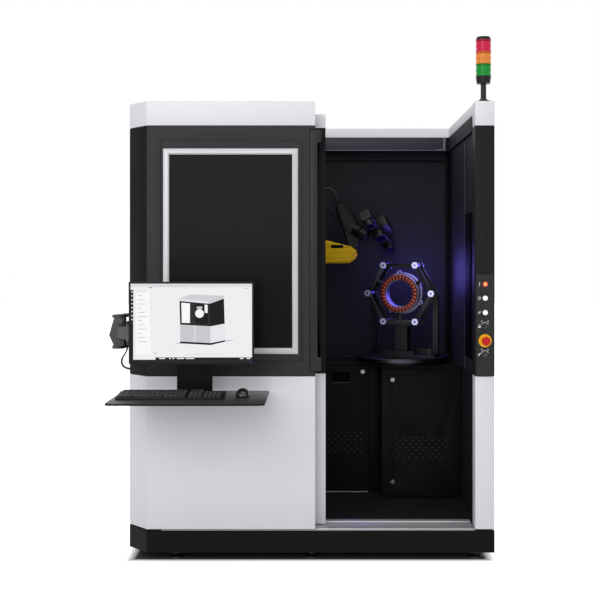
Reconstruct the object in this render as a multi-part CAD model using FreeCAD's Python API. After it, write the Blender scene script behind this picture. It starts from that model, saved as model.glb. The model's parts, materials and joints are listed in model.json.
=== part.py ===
import FreeCAD, Part
import math
import os

# A cabinet for optical three-dimensional inspection. A six-axis robot carries a stereo sensor
# head over a turntable with a sample fixture. A sliding door closes the measuring chamber.
# Lengths are in millimetres. While it is built, X runs from the cabinet's middle to the right,
# Y from the front face to the rear, and Z from the floor. At the end every piece is moved so
# that the origin is the middle of the whole object's footprint.

V = FreeCAD.Vector
AX = V(1, 0, 0)
AY = V(0, 1, 0)
AZ = V(0, 0, 1)

# Cabinet
cabinet_width = 1690.0
cabinet_depth = 1200.0
cabinet_height = 2100.0
chamfer_width = 96.5
chamfer_depth = 114.0
shadow_gap = 7.0
waist_height = 839.0
cap_height = 113.0
cap_band = 50.0
front_thickness = 40.0
skin_thickness = 25.0
sheet = 3.0
fold = 12.0
seam = 2.0
seat = 0.3
block_spare = 136.0
column_width = 88.0
column_depth = 90.0
column_left_wall = 18.0
column_right_wall = 19.0
column_front_wall = 38.0
rear_beam_depth = 170.0
rear_skin_depth = 30.0
side_band = 84.0
side_seam_y = 150.0

# Feet and plinth
foot_height = 31.0
foot_radius = 33.0
foot_stem = 8.0
foot_nut = 14.0
foot_side_inset = 227.0
foot_middle_inset = 20.0
foot_right_inset = 85.0
plinth_height = 100.0
plinth_beam = 90.0
plinth_plate = 4.0
inlet_inset = 205.0
inlet_width = 58.0
inlet_height = 38.0
inlet_depth = 30.0

# Inner posts, headers and liners
liner_upper_inset = 75.0
liner_lower_inset = 57.0
liner_front_y = 140.0
post_size = 45.0
post_depth = 40.0
post_inset = 20.0
side_post = 30.0
side_post_right = 24.0
rear_post_depth = 22.0
header_drop = 12.0
header_lip = 6.0
recess_front_margin = 190.0
recess_rear_margin = 207.0
recess_low_margin = 92.0
recess_high_margin = 68.0

# Window in the fixed front panel
window_left_margin = 172.0
window_right_margin = 79.0
window_low_margin = 102.0
window_high_margin = 105.0
window_rail = 27.0
window_lip = 20.0
window_proud = 3.0
window_rebate = 10.0
window_step = 4.0
pane_thickness = 6.0
pane_slack = 0.2
relief_margin_left = 13.0
relief_margin_right = 20.0
relief_margin_low = 37.0
relief_width = 2.5

# Sliding door
door_shown = 48.0
door_lap = 27.0
door_face = 97.0
door_thickness = 45.0
door_floor_gap = 9.0
door_top_gap = 48.0
door_cap_height = 64.0
door_stile = 64.0
door_rebate = 10.0
handle_width = 52.0
handle_left_inset = 24.0
handle_low_gap = 22.0
handle_high_gap = 18.0
handle_plate = 5.0
handle_face = 2.0
handle_web = 5.5
handle_notch = 18.0
handle_notch_low = 64.0
handle_notch_high = 57.0
handle_clear = 2.0
glider_width = 60.0
glider_height = 60.0
glider_inset = 60.0
sill_depth = 218.0
sill_thickness = 3.0
sill_lip = 10.0
track_y = 161.0
track_width = 6.0
track_height = 8.0
track_clear = 0.4
guide_bar = 8.0
guide_y = 120.0
guide_depth = 19.0
guide_arm = 30.0

# Furniture in the chamber
table_top = 828.0
table_plate = 20.0
carcass_board = 18.0
carcass_back = 6.0
furniture_rear_gap = 80.0
right_cabinet_depth = 420.0
left_cabinet_depth = 260.0
right_cabinet_width = 416.0
door_leaf = 18.0
left_leaf_inset = 65.0
left_leaf_width = 633.0
leaf_gap = 2.0
leaf_rear_gap = 0.8
leaf_lift = 4.0
leaf_top_drop = 2.0
pivot_radius = 2.0
pivot_inset = 4.0
pivot_depth = 12.0
lock_radius = 11.0
lock_shaft = 6.0
lock_left_inset = 27.0
lock_left_drop = 54.0
lock_right_inset = 57.0
lock_right_drop = 80.0
lock_right_rise = 85.0
recess_width = 97.0
recess_height = 56.0
recess_depth = 13.0
recess_inset = 95.0
vent_pitch = 17.0
vent_hole = 5.5
vent_rows = 7
vent_rise = 213.0
left_vent_inset = 33.0
left_vent_width = 174.0
right_vent_inset = 68.0
right_vent_width = 268.0
rear_vent_inset = 160.0
rear_vent_width = 302.0

# Turntable, fixture and sample
table_inset = 301.0
table_rear_gap = 313.0
platter_radius = 250.0
platter_thickness = 22.0
platter_chamfer = 2.0
drive_radius = 165.0
drive_height = 15.5
motor_radius = 95.0
motor_height = 110.0
running_gap = 0.5
platter_holes = 8
platter_hole_circle = 230.0
platter_hole = 4.5
fixture_turn = -18.0
fixture_plate = 10.0
fixture_plate_half = 190.0
fixture_plate_front = -82.0
fixture_plate_back = 78.0
fixture_column_half = 38.0
fixture_crown_half = 62.0
fixture_bar_half = 81.0
fixture_bar_depth = 30.0
fixture_angle = 26.0
fixture_angle_out = 176.0
fixture_block = 46.0
fixture_block_out = 120.0
fixture_post_half = 14.0
fixture_column_height = 152.5
fixture_crown = 10.0
fixture_bar = 20.0
hexagon_radius = 171.0
hexagon_bar = 24.0
hexagon_thickness = 14.0
hexagon_spacing = 110.0
spacer_radius = 11.0
spacer_bore = 5.0
sleeve_hex = 18.5
sleeve_length = 12.0
corner_boss = 17.0
sample_radius = 102.0
sample_bore = 70.0
sample_front = -58.0
sample_back = 14.0
sample_flange = 110.0
flange_thickness = 16.0
lug_circle = 112.0
lug_radius = 12.0
lug_hole = 4.5
crown_radius = 99.0
crown_bore = 73.0
crown_depth = 16.0
hairpin_reach = 12.0
hairpin_width = 8.0
hairpins = 30

# Robot
robot_reach = 974.0
robot_rear_gap = 120.0
robot_foot = 95.0
robot_base_height = 112.0
robot_drum = 74.0
turret_radius = 76.0
turret_height = 60.0
shoulder_out = 60.0
shoulder_rise = 330.0
shoulder_radius = 60.0
elbow_out = 239.0
elbow_rise = 227.0
elbow_radius = 52.0
link_gap = 0.6
link_thickness = 66.0
elbow_housing = 56.0
roll_axis_rise = 30.0
roll_flange_out = 108.0
forearm_length = 412.0
forearm_half = 54.0
wrist_drop = 3.0
wrist_pin = 14.0
wrist_half = 35.0
fork_half = 36.0
flange_radius = 37.0
flange_reach = 42.0
adapter_radius = 33.0
adapter_length = 43.0
sensor_length = 330.0
sensor_body = 58.0
eye_inset = 30.0
eye_barrel = 27.0
projector_barrel = 35.0

# Operator's console
wall_pivot_gap = 45.0
wall_pivot_y = 60.0
elbow_pivot_out = 90.0
elbow_pivot_forward = 120.0
pivot_pin = 9.0
pin_fit = 0.05
arm_low = 976.0
arm_high = 1104.0
arm_ear = 14.0
arm_radius = 27.0
arm_half = 27.0
hip_half = 35.0
hip_pin_half = 52.0
beam_half = 55.0
housing_reach = 36.0
bracket_plate = 5.0
tray_out = 40.0
tray_width = 665.0
tray_front = -500.0
tray_back = -20.0
tray_top = 776.0
tray_thickness = 8.0
tray_bow = 6.0
tray_corner = 26.0
stand_width = 155.0
stand_y = -215.0
stand_thickness = 12.0
stand_top = 1172.0
console_ear = 20.0
monitor_out = 385.5
monitor_width = 535.0
monitor_height = 352.0
monitor_bottom = 926.0
monitor_face = -345.0
monitor_shell = 14.0
monitor_bulge = 26.0
tilt_y = -276.0
tilt_z = 1102.0
tilt_ear = 12.0
tilt_pin = 7.0
tilt_barrel = 15.0
tilt_barrel_length = 90.0
screen_width = 518.0
screen_height = 324.0
keyboard_out = 23.0
keyboard_width = 460.0
keyboard_front = -365.0
keyboard_depth = 145.0
key_pitch = 19.0
key_size = 17.0
mouse_out = 558.0
mouse_front = -300.0

# Cables
sensor_cable_radius = 7.0
side_lead_radius = 3.0

# Controls on the right column
plate_low_margin = 101.0
plate_high_margin = 44.0
plate_left_inset = 5.0
plate_right_inset = 4.0
panel_thickness = 3.0
red_z = 1261.0
white_upper_z = 1197.0
white_lower_z = 1131.0
key_z = 1068.0
stop_z = 1002.0
selector_z = 939.0
bezel_radius = 15.0
head_radius = 11.5
head_height = 5.0
head_rise = 5.5
stem_radius = 9.3
stem_length = 26.0
sleeve_radius = 11.0
sleeve_depth = 33.0
stem_fit = 0.3
button_travel = 4.0
stop_travel = 6.0
stop_collar_radius = 30.0
stop_neck_radius = 14.0
stop_rise = 25.0
stop_head_radius = 20.0

# Signal tower
tower_y = 45.0
tower_radius = 35.0
tower_tube_radius = 12.75
tower_tube_height = 86.0
tower_base_height = 33.5
tower_band = 7.0
tower_band_rise = 1.5
lens_height = 56.0

# Places worked out from the sizes above
left = -cabinet_width / 2
right = cabinet_width / 2
deck = foot_height + plinth_height
panel_low = deck + shadow_gap
cap_low = cabinet_height - cap_height
band_low = cabinet_height - cap_band
column_left = right - column_width
opening_width = (cabinet_width - column_width - block_spare) / 2
left_block_right = column_left - opening_width
chamfer_left = left + chamfer_width
beam_y = cabinet_depth - rear_beam_depth
rear_skin = cabinet_depth - rear_skin_depth
liner_right_upper = right - liner_upper_inset
liner_right_lower = right - liner_lower_inset
liner_left = left + liner_lower_inset
liner_back = rear_skin - rear_post_depth
header_low = cap_low - header_drop
window_left = left + window_left_margin
window_right = left_block_right - window_right_margin
window_bottom = waist_height + window_low_margin
window_top = cap_low - window_high_margin
door_right = left_block_right + door_shown
door_left = door_right - opening_width - door_lap
door_back = door_face + door_thickness
door_bottom = deck + door_floor_gap
door_top = cabinet_height - door_top_gap
door_travel = column_left - door_right
handle_left = left_block_right - handle_left_inset
handle_bottom = waist_height + handle_low_gap
handle_top = cap_low - handle_high_gap
furniture_back = cabinet_depth - furniture_rear_gap
right_front = furniture_back - right_cabinet_depth
left_front = furniture_back - left_cabinet_depth
right_edge = liner_right_lower - seam
left_edge = liner_left + sheet + seam
right_left = right_edge - right_cabinet_width
left_leaf_right = right_left - left_leaf_inset
left_leaf_left = left_leaf_right - left_leaf_width
leaf_low = deck + leaf_lift
leaf_high = table_top - table_plate - leaf_top_drop
table_x = right_edge - table_inset
table_y = furniture_back - table_rear_gap
platter_low = table_top + drive_height + running_gap
platter_top = platter_low + platter_thickness
hexagon_outer = hexagon_radius + hexagon_bar / 2
hexagon_inner = hexagon_radius - hexagon_bar / 2
frame_low = platter_top + fixture_plate + fixture_column_height + fixture_crown
hexagon_height = frame_low + hexagon_outer * math.sin(math.radians(60))
robot_x = table_x - robot_reach
robot_y = furniture_back - robot_rear_gap
robot_base_top = table_top + robot_base_height
shoulder = V(robot_x + shoulder_out, robot_y, table_top + shoulder_rise)
elbow = shoulder + V(elbow_out, 0, elbow_rise)
roll_z = elbow.z + roll_axis_rise
roll_flange_x = elbow.x + roll_flange_out
wrist = V(elbow.x + forearm_length, robot_y, roll_z - wrist_drop)
wall_pivot = V(left - wall_pivot_gap, wall_pivot_y, 0)
elbow_pivot = wall_pivot + V(elbow_pivot_out, -elbow_pivot_forward, 0)
housing_left = wall_pivot.x - housing_reach
tray_left = wall_pivot.x + tray_out
tray_right = tray_left + tray_width
monitor_x = wall_pivot.x + monitor_out
control_x = column_left + column_width / 2
panel_bottom = selector_z - plate_low_margin
panel_top = red_z + plate_high_margin
control_heights = (red_z, white_upper_z, white_lower_z, key_z, stop_z, selector_z)
origin_x = (housing_left + right) / 2
origin_y = (tray_front + cabinet_depth) / 2

nodes = {}


def box(x0, x1, y0, y1, z0, z1):
    return Part.makeBox(x1 - x0, y1 - y0, z1 - z0, V(x0, y0, z0))


def cyl(radius, start, axis, length):
    return Part.makeCylinder(radius, length, start, axis)


def tube(outer, inner, start, axis, length):
    return cyl(outer, start, axis, length).cut(cyl(inner, start, axis, length))


def fuse(first, *others):
    return first.multiFuse(list(others)).removeSplitter()


def face_of(points):
    return Part.Face(Part.makePolygon(points + [points[0]]))


def prism_z(points, z0, z1):
    return face_of([V(x, y, z0) for x, y in points]).extrude(V(0, 0, z1 - z0))


def prism_y(points, y0, y1):
    return face_of([V(x, y0, z) for x, z in points]).extrude(V(0, y1 - y0, 0))


def prism_x(points, x0, x1):
    return face_of([V(x0, y, z) for y, z in points]).extrude(V(x1 - x0, 0, 0))


def link(a, b, ra, rb, axis, thickness):
    """A flat link: two round ends joined by their common tangents, extruded along axis."""
    along = b.sub(a)
    span = along.Length
    along = along.multiply(1.0 / span)
    side = axis.cross(along)
    lean = math.asin((ra - rb) / span)
    up = along * math.sin(lean) + side * math.cos(lean)
    down = along * math.sin(lean) - side * math.cos(lean)
    a1, a2 = a + up * ra, a + down * ra
    b1, b2 = b + up * rb, b + down * rb
    edges = [
        Part.Arc(a1, a - along * ra, a2).toShape(),
        Part.LineSegment(a2, b2).toShape(),
        Part.Arc(b2, b + along * rb, b1).toShape(),
        Part.LineSegment(b1, a1).toShape(),
    ]
    return Part.Face(Part.Wire(edges)).extrude(axis * thickness)


def rounded_box(x0, x1, y0, y1, z0, z1, radius, axis):
    """A box whose edges along one axis are rounded."""
    body = box(x0, x1, y0, y1, z0, z1)
    edges = [e for e in body.Edges if abs(abs(e.tangentAt(e.FirstParameter).dot(axis)) - 1) < 1e-6]
    return body.makeFillet(radius, edges)


def placed(shape, origin, x_axis, z_axis):
    """Moves a shape from its own axes to an origin with the given x and z directions."""
    y_axis = z_axis.cross(x_axis)
    matrix = FreeCAD.Matrix(
        x_axis.x, y_axis.x, z_axis.x, origin.x,
        x_axis.y, y_axis.y, z_axis.y, origin.y,
        x_axis.z, y_axis.z, z_axis.z, origin.z,
        0, 0, 0, 1,
    )
    moved = shape.copy()
    moved.Placement = FreeCAD.Placement(matrix).multiply(shape.Placement)
    return moved


def add(name, *solids):
    nodes[name] = Part.makeCompound(list(solids)) if len(solids) > 1 else solids[0]


def chamfer_cut(inset):
    """How far the chamfer's two corners move along the front and the side for an inset."""
    slope = math.hypot(chamfer_width, chamfer_depth)
    return inset * (slope - chamfer_width) / chamfer_depth, inset * (slope - chamfer_depth) / chamfer_width


def footprint(inset):
    """The chamfered plan of the cabinet, moved in by inset on every side."""
    cut_x, cut_y = chamfer_cut(inset)
    return [
        (chamfer_left + cut_x, inset),
        (right - inset, inset),
        (right - inset, cabinet_depth - inset),
        (left + inset, cabinet_depth - inset),
        (left + inset, chamfer_depth + cut_y),
    ]


def front_plan():
    """The plan of a front panel that turns round the chamfered corner."""
    depth = front_thickness
    back_x, back_y = chamfer_cut(depth)
    return [
        (left_block_right, 0),
        (chamfer_left, 0),
        (left, chamfer_depth),
        (left, side_seam_y),
        (left + depth, side_seam_y),
        (left + depth, chamfer_depth + back_y),
        (chamfer_left + back_x, depth),
        (left_block_right, depth),
    ]


def levelling_feet():
    profile = [
        V(0, 0, 0), V(foot_radius, 0, 0), V(foot_radius, 0, 7), V(foot_radius - 7, 0, 12),
        V(foot_stem + 4, 0, 15),
        V(foot_stem, 0, 18), V(foot_stem, 0, foot_height), V(0, 0, foot_height),
    ]
    nut_low = 20.0
    corners = [math.radians(60 * i) for i in range(6)]
    nut = prism_z([(foot_nut * math.cos(a), foot_nut * math.sin(a)) for a in corners], nut_low, foot_height)
    feet = []
    for y in (plinth_beam / 2, cabinet_depth - plinth_beam / 2):
        for x in (left + foot_side_inset, left_block_right - foot_middle_inset, right - foot_right_inset):
            foot = fuse(face_of(profile).revolve(V(0, 0, 0), AZ, 360), nut)
            foot.translate(V(x, y, 0))
            feet.append(foot)
    add("levelling_feet", *feet)


def base_plinth():
    """Five beams under a deck plate, and the mains inlet in the rear beam."""
    low, high = foot_height, deck - plinth_plate
    ring = prism_z(footprint(0), low, high).cut(prism_z(footprint(plinth_beam), low, high))
    cut_x, cut_y = chamfer_cut(plinth_beam)
    corner_x, corner_y = chamfer_left + cut_x, chamfer_depth + cut_y
    rear_y = cabinet_depth - plinth_beam
    beams = [ring.common(box(*span, low, high)) for span in (
        (left, corner_x, 0, corner_y),
        (corner_x, right, 0, plinth_beam),
        (left, left + plinth_beam, corner_y, rear_y),
        (right - plinth_beam, right, plinth_beam, rear_y),
    )]
    x, z = left + inlet_inset, foot_height + plinth_height / 2
    half_w, half_h = inlet_width / 2, inlet_height / 2
    recess = box(x - half_w, x + half_w, cabinet_depth - inlet_depth, cabinet_depth, z - half_h, z + half_h)
    beams.append(box(left, right, rear_y, cabinet_depth, low, high).cut(recess))
    inlet = box(x - half_w, x + half_w, cabinet_depth - inlet_depth, cabinet_depth - 2, z - half_h,
                z + half_h)
    socket = box(x - half_w + 7, x + 4, cabinet_depth - inlet_depth + 10, cabinet_depth, z - 12, z + 12)
    rocker = box(x + 10, x + half_w - 5, cabinet_depth - 10, cabinet_depth, z - 10, z + 10)
    plate = prism_z(footprint(0), high, deck)
    add("base_plinth", *beams, plate, inlet.cut(socket).cut(rocker))


def door_rails():
    """The sill with its track, and the guide bar at the top that the door's cap runs on."""
    sill_left = chamfer_left + post_inset + post_size + seam
    top = deck + sill_thickness
    strip = box(sill_left, column_left, fold / 2, sill_depth, deck, top)
    lip = box(left_block_right, column_left, 2 * sill_lip, 3 * sill_lip, top, top + sill_thickness)
    track = box(sill_left, column_left, track_y - track_width / 2, track_y + track_width / 2,
                top, deck + track_height)
    bar_low, bar_high = door_top - guide_depth, cabinet_height - fold / 2
    bar_front, bar_back = guide_y - guide_bar / 2, guide_y + guide_bar / 2
    bar = box(door_left, left_block_right, bar_front, bar_back, bar_low, bar_high)
    starts = (door_left + guide_arm, (door_left + left_block_right) / 2, left_block_right - 2 * guide_arm)
    arms = [box(x, x + guide_arm, front_thickness, bar_back, door_top + fold, bar_high) for x in starts]
    add("door_rails", fuse(strip, lip, track), fuse(bar, *arms))


def window():
    """Four mitred rails round a tinted pane."""
    x0, x1, z0, z1 = window_left, window_right, window_bottom, window_top
    y0, y1 = -window_proud, front_thickness - 8
    rebate_y = y0 + window_rebate
    ring = box(x0, x1, y0, y1, z0, z1)
    cuts = (
        (window_rail, y0, y1),
        (window_lip, rebate_y, rebate_y + pane_thickness),
        (window_rail - window_step, y0, y0 + window_step),
    )
    for inset, front, back in cuts:
        ring = ring.cut(box(x0 + inset, x1 - inset, front, back, z0 + inset, z1 - inset))
    half = min(x1 - x0, z1 - z0) / 2
    quarters = [
        [(x0, z0), (x1, z0), (x1 - half, z0 + half), (x0 + half, z0 + half)],
        [(x0, z1), (x1, z1), (x1 - half, z1 - half), (x0 + half, z1 - half)],
        [(x0, z0), (x0 + half, z0 + half), (x0 + half, z1 - half), (x0, z1)],
        [(x1, z0), (x1 - half, z0 + half), (x1 - half, z1 - half), (x1, z1)],
    ]
    add("window_frame", *[ring.common(prism_y(q, y0 - 1, y1 + 1)) for q in quarters])
    edge = window_lip + seat
    add("window_pane",
        box(x0 + edge, x1 - edge, rebate_y + pane_slack, rebate_y + pane_thickness - pane_slack,
            z0 + edge, z1 - edge))


def front_panel():
    panel = prism_z(front_plan(), waist_height + seam / 2, cap_low - seam / 2)
    panel = panel.cut(box(window_left, window_right, -1, front_thickness + 1, window_bottom, window_top))
    x0, x1 = window_left - relief_margin_left, window_right + relief_margin_right
    z0, z1 = window_bottom - relief_margin_low, window_top + relief_margin_low
    w = relief_width
    groove = box(x0, x1, -1, w, z0, z1).cut(box(x0 + w, x1 - w, -1, w, z0 + w, z1 - w))
    notch = box(handle_left - handle_clear, left_block_right + 1, -1, front_thickness + 1,
                handle_bottom - handle_clear, handle_top + handle_clear)
    add("front_panel", panel.cut(groove).cut(notch))


def side_skins(z0, z1):
    """The folded skins of the left, the right and the rear between two heights."""
    y1 = rear_skin - seam
    left_front_y, right_front_y = side_seam_y + seam, column_depth + seam
    left_skin = box(left, left + skin_thickness, left_front_y, y1, z0, z1).cut(
        box(left + sheet, left + skin_thickness + 1, left_front_y + fold, y1 - fold, z0 + fold, z1 - fold))
    right_skin = box(right - skin_thickness, right, right_front_y, y1, z0, z1).cut(
        box(right - skin_thickness - 1, right - sheet, right_front_y + fold, y1 - fold, z0 + fold, z1 - fold))
    rears = []
    middle = (left + right) / 2
    for x0, x1, inner0, inner1 in ((left, middle - seam / 2, left + 5 * fold, middle - fold),
                                   (middle + seam / 2, right, middle + fold, right - 5 * fold)):
        hollow = box(inner0, inner1, rear_skin - 1, cabinet_depth - sheet, z0 + fold, z1 - fold)
        rears.append(box(x0, x1, rear_skin, cabinet_depth, z0, z1).cut(hollow))
    return [left_skin, right_skin, *rears]


def column_section(z0, z1):
    """One height of the right column, a folded box open to the post inside it."""
    section = box(column_left, right, 0, column_depth, z0, z1)
    section = section.cut(box(column_left + column_left_wall, right - column_right_wall,
                              column_front_wall, column_depth, z0, z1))
    for z in control_heights:
        if z0 - sleeve_radius < z < z1 + sleeve_radius:
            section = section.cut(cyl(sleeve_radius + seat, V(control_x, -1, z), AY, column_front_wall - 1))
    return section


def panels_lower():
    z0, z1 = panel_low, waist_height - seam / 2
    front = prism_z(front_plan(), z0, z1)
    hollow = box(chamfer_left + front_thickness, left_block_right - 20, sheet, front_thickness + 1,
                 z0 + fold, z1 - fold)
    left_skin, right_skin, rear_left, rear_right = side_skins(z0, z1)
    vent_y = cabinet_depth - door_leaf
    rear_left = rear_left.cut(vent(left + rear_vent_inset, left + rear_vent_inset + rear_vent_width, vent_y))
    rear_right = rear_right.cut(vent(right - rear_vent_inset - rear_vent_width, right - rear_vent_inset,
                                     vent_y))
    add("panels_lower", front.cut(hollow), left_skin, right_skin, rear_left, rear_right,
        column_section(z0, z1))


def panels_upper():
    z0, z1 = waist_height + seam / 2, cap_low - seam / 2
    add("panels_upper", *side_skins(z0, z1), column_section(z0, z1))


def top_cap():
    """White caps round the open roof, each a skin with a band folded inwards at its top."""
    z0, z1 = cap_low + seam / 2, cabinet_height
    front = prism_z(front_plan(), z0, z1)
    y0, y1 = side_seam_y + seam, beam_y - seam
    left_cap = fuse(box(left, left + skin_thickness, y0, y1, z0, z1),
                    box(left, left + side_band, y0, y1, band_low, z1))
    y0 = column_depth + seam
    right_cap = fuse(box(right - skin_thickness, right, y0, y1, z0, z1),
                     box(right - side_band, right, y0, y1, band_low, z1))
    rear_cap = fuse(box(left, right, rear_skin, cabinet_depth, z0, z1),
                    box(left, right, beam_y, cabinet_depth, band_low, z1),
                    box(left, left + skin_thickness, beam_y, cabinet_depth, z0, z1),
                    box(right - skin_thickness, right, beam_y, cabinet_depth, z0, z1))
    column_cap = box(column_left, right, 0, column_depth, z0, z1)
    add("top_cap", front, left_cap, right_cap, rear_cap, column_cap)


def inner_frame():
    """Posts that the skins hang on, headers under the top band and the chamber's liners."""
    front_y, front_back_y = front_thickness, front_thickness + post_depth
    liner_front = liner_front_y
    left_front_y = side_seam_y + seam + sheet
    left_liner_front = left_front_y + post_depth + seam
    posts = [
        box(chamfer_left + post_inset, chamfer_left + post_inset + post_size, front_y, front_back_y, deck,
            band_low),
        box(handle_left - handle_clear - post_size, handle_left - handle_clear, front_y, front_back_y,
            deck + sill_thickness, band_low),
        box(left + skin_thickness, left + skin_thickness + post_size, liner_back, rear_skin, deck,
            header_low),
        box(right - skin_thickness - post_size, right - skin_thickness, liner_back, rear_skin, deck,
            header_low),
        box(left + skin_thickness, left + skin_thickness + side_post, left_front_y, left_front_y + post_depth,
            deck, band_low),
        box(right - skin_thickness - side_post_right, right - skin_thickness, column_depth + 4 * seam,
            column_depth + 4 * seam + post_depth, deck, header_low),
        box(column_left + column_left_wall + seat, right - column_right_wall - seat,
            column_front_wall + seat, column_depth - sheet, deck, cap_low + seam / 2),
    ]
    inner_left, inner_right = left + side_band, right - side_band
    channel = box(inner_left, inner_right, beam_y, rear_skin, header_low, band_low)
    channel = channel.cut(box(inner_left, inner_right, beam_y + sheet, rear_skin, header_low + sheet,
                              band_low - fold))
    lip = box(inner_left, inner_right, beam_y - header_lip, beam_y, header_low, header_low + 4)
    headers = [
        fuse(channel, lip),
        box(inner_right, right - skin_thickness, liner_front, beam_y, header_low, band_low),
        box(left + skin_thickness, inner_left, left_liner_front, beam_y, header_low, band_low),
        box(left + skin_thickness, inner_left, beam_y, rear_skin, header_low, band_low),
        box(inner_right, right - skin_thickness, beam_y, rear_skin, header_low, band_low),
    ]
    rear_y = liner_back - sheet
    upper_right = box(liner_right_upper, liner_right_upper + sheet, liner_front, rear_y, table_top,
                      header_low)
    upper_right = upper_right.cut(
        box(liner_right_upper - 1, liner_right_upper + 1, liner_front + recess_front_margin,
            rear_y - recess_rear_margin, table_top + recess_low_margin, header_low - recess_high_margin))
    liners = [
        upper_right,
        box(liner_right_lower, liner_right_lower + sheet, liner_front, rear_y, deck, table_top - sheet),
        box(liner_right_upper, liner_right_lower + sheet, liner_front, right_front - 10, table_top - sheet,
            table_top),
        box(liner_left + sheet, liner_right_upper - seam, rear_y, liner_back, table_top + 4, header_low),
        box(liner_left, liner_left + sheet, left_liner_front, liner_back, deck, header_low),
    ]
    add("inner_frame", *posts, *headers, *liners)


def control_plate():
    plate = rounded_box(column_left + plate_left_inset, right - plate_right_inset, -panel_thickness, 0,
                        panel_bottom, panel_top, 8, AY)
    for z in control_heights:
        plate = plate.cut(cyl(sleeve_radius + 0.1, V(control_x, -panel_thickness - 1, z), AY, 20))
    add("control_plate", plate)


def lock_centres():
    """Each quarter-turn lock as x, front face of its leaf, z."""
    right_x = right_left + lock_right_inset
    return {
        "lock_left": (left_leaf_right - lock_left_inset, left_front, table_top - lock_left_drop),
        "lock_right_upper": (right_x, right_front, table_top - lock_right_drop),
        "lock_right_lower": (right_x, right_front, deck + lock_right_rise),
    }


def leaf_pivots():
    """The pivot of each lower leaf, keyed by the depth of its front."""
    return {
        right_front: V(right_edge - leaf_gap - pivot_inset, right_front + pivot_inset, 0),
        left_front: V(left_leaf_left + pivot_inset, left_front + pivot_inset, 0),
    }


def pivoted(leaf, front):
    """A leaf with a pin at the top and one at the foot of its hinge side."""
    pivot = leaf_pivots()[front]
    foot = cyl(pivot_radius, V(pivot.x, pivot.y, deck + seat), AZ, leaf_lift)
    head = cyl(pivot_radius, V(pivot.x, pivot.y, leaf_high - 1), AZ, leaf_top_drop + pivot_depth)
    return fuse(leaf, foot, head)


def carcasses():
    """Two cabinets of boards side by side, whose tops form the table."""
    solids = []
    top_low = table_top - table_plate
    for x0, x1, front in ((right_left, right_edge, right_front), (left_edge, right_left - 1, left_front)):
        y0 = front + door_leaf + leaf_rear_gap
        pivot = leaf_pivots()[front]
        inner = (x0 + carcass_board, x1 - carcass_board)
        solids.append(box(x0, x1, y0, furniture_back, top_low, table_top))
        solids.append(box(x0, inner[0], y0, furniture_back, deck, top_low))
        solids.append(box(inner[1], x1, y0, furniture_back, deck, top_low))
        solids.append(box(*inner, furniture_back - carcass_back, furniture_back, deck, top_low))
        solids.append(box(*inner, y0, furniture_back - carcass_back, deck, deck + carcass_board))
        nose = box(x0, x1, front + 1, y0, top_low, table_top)
        bearing = cyl(pivot_radius + pin_fit, V(pivot.x, pivot.y, top_low - 1), AZ, pivot_depth + 1)
        solids.append(nose.cut(bearing))
        shoe = box(pivot.x - pivot_inset, pivot.x + pivot_inset, front + 1, y0, deck, leaf_low - seat)
        solids.append(shoe.cut(cyl(pivot_radius + pin_fit, V(pivot.x, pivot.y, deck), AZ, leaf_lift)))
    # Fixed fronts beside the left leaf, and the stile that its lock closes on
    y0, y1 = left_front, left_front + door_leaf + leaf_rear_gap
    solids.append(box(left_leaf_right + leaf_gap, right_left - 1, y0, y1, leaf_low, top_low))
    solids.append(box(left_edge, left_leaf_left - leaf_gap, y0, y1, leaf_low, top_low))
    solids.append(box(left_leaf_right - 6, left_leaf_right + 40, y1, y1 + sheet, deck + carcass_board,
                      top_low))
    # Drive motor that hangs under the turntable, and the strikes of the right leaf's locks
    solids.append(cyl(motor_radius, V(table_x, table_y + 60, top_low - motor_height), AZ, motor_height))
    strike_x, strike_y = right_left + carcass_board, right_front + door_leaf + leaf_rear_gap
    for name in ("lock_right_upper", "lock_right_lower"):
        z = lock_centres()[name][2]
        solids.append(box(strike_x, strike_x + 18, strike_y, strike_y + sheet, z - 20, z + 20))
    add("lower_carcasses", *solids)


def vent(x0, x1, y):
    """A staggered field of square holes turned on their corners."""
    holes = []
    r = vent_hole
    for row in range(vent_rows):
        z = deck + vent_rise + row * vent_pitch
        shift = vent_pitch * (row % 2)
        count = int((x1 - x0 - shift) // (2 * vent_pitch)) + 1
        for i in range(count):
            x = x0 + shift + i * 2 * vent_pitch
            holes.append(prism_y([(x - r, z), (x, z - r), (x + r, z), (x, z + r)], y - 1, y + door_leaf + 1))
    return Part.makeCompound(holes)


def lower_doors():
    y = left_front
    leaf = box(left_leaf_left, left_leaf_right, y, y + door_leaf, leaf_low, leaf_high)
    vent_right = left_leaf_right - left_vent_inset
    leaf = leaf.cut(vent(vent_right - left_vent_width, vent_right, y))
    recess_right = left_leaf_right - recess_inset
    top = lock_centres()["lock_left"][2]
    leaf = leaf.cut(rounded_box(recess_right - recess_width, recess_right, y - 1, y + recess_depth,
                                top - recess_height, top, 5, AY))
    add("lower_door_left", pivoted(bored_for_locks(leaf, "lock_left"), y))
    y = right_front
    leaf = box(right_left + leaf_gap, right_edge - leaf_gap, y, y + door_leaf, leaf_low, leaf_high)
    vent_right = right_edge - leaf_gap - right_vent_inset
    leaf = leaf.cut(vent(vent_right - right_vent_width, vent_right, y))
    add("lower_door_right", pivoted(bored_for_locks(leaf, "lock_right_upper", "lock_right_lower"), y))


def bored_for_locks(leaf, *names):
    for name in names:
        x, y, z = lock_centres()[name]
        leaf = leaf.cut(cyl(lock_shaft + pin_fit, V(x, y - 1, z), AY, door_leaf + 2))
    return leaf


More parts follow.
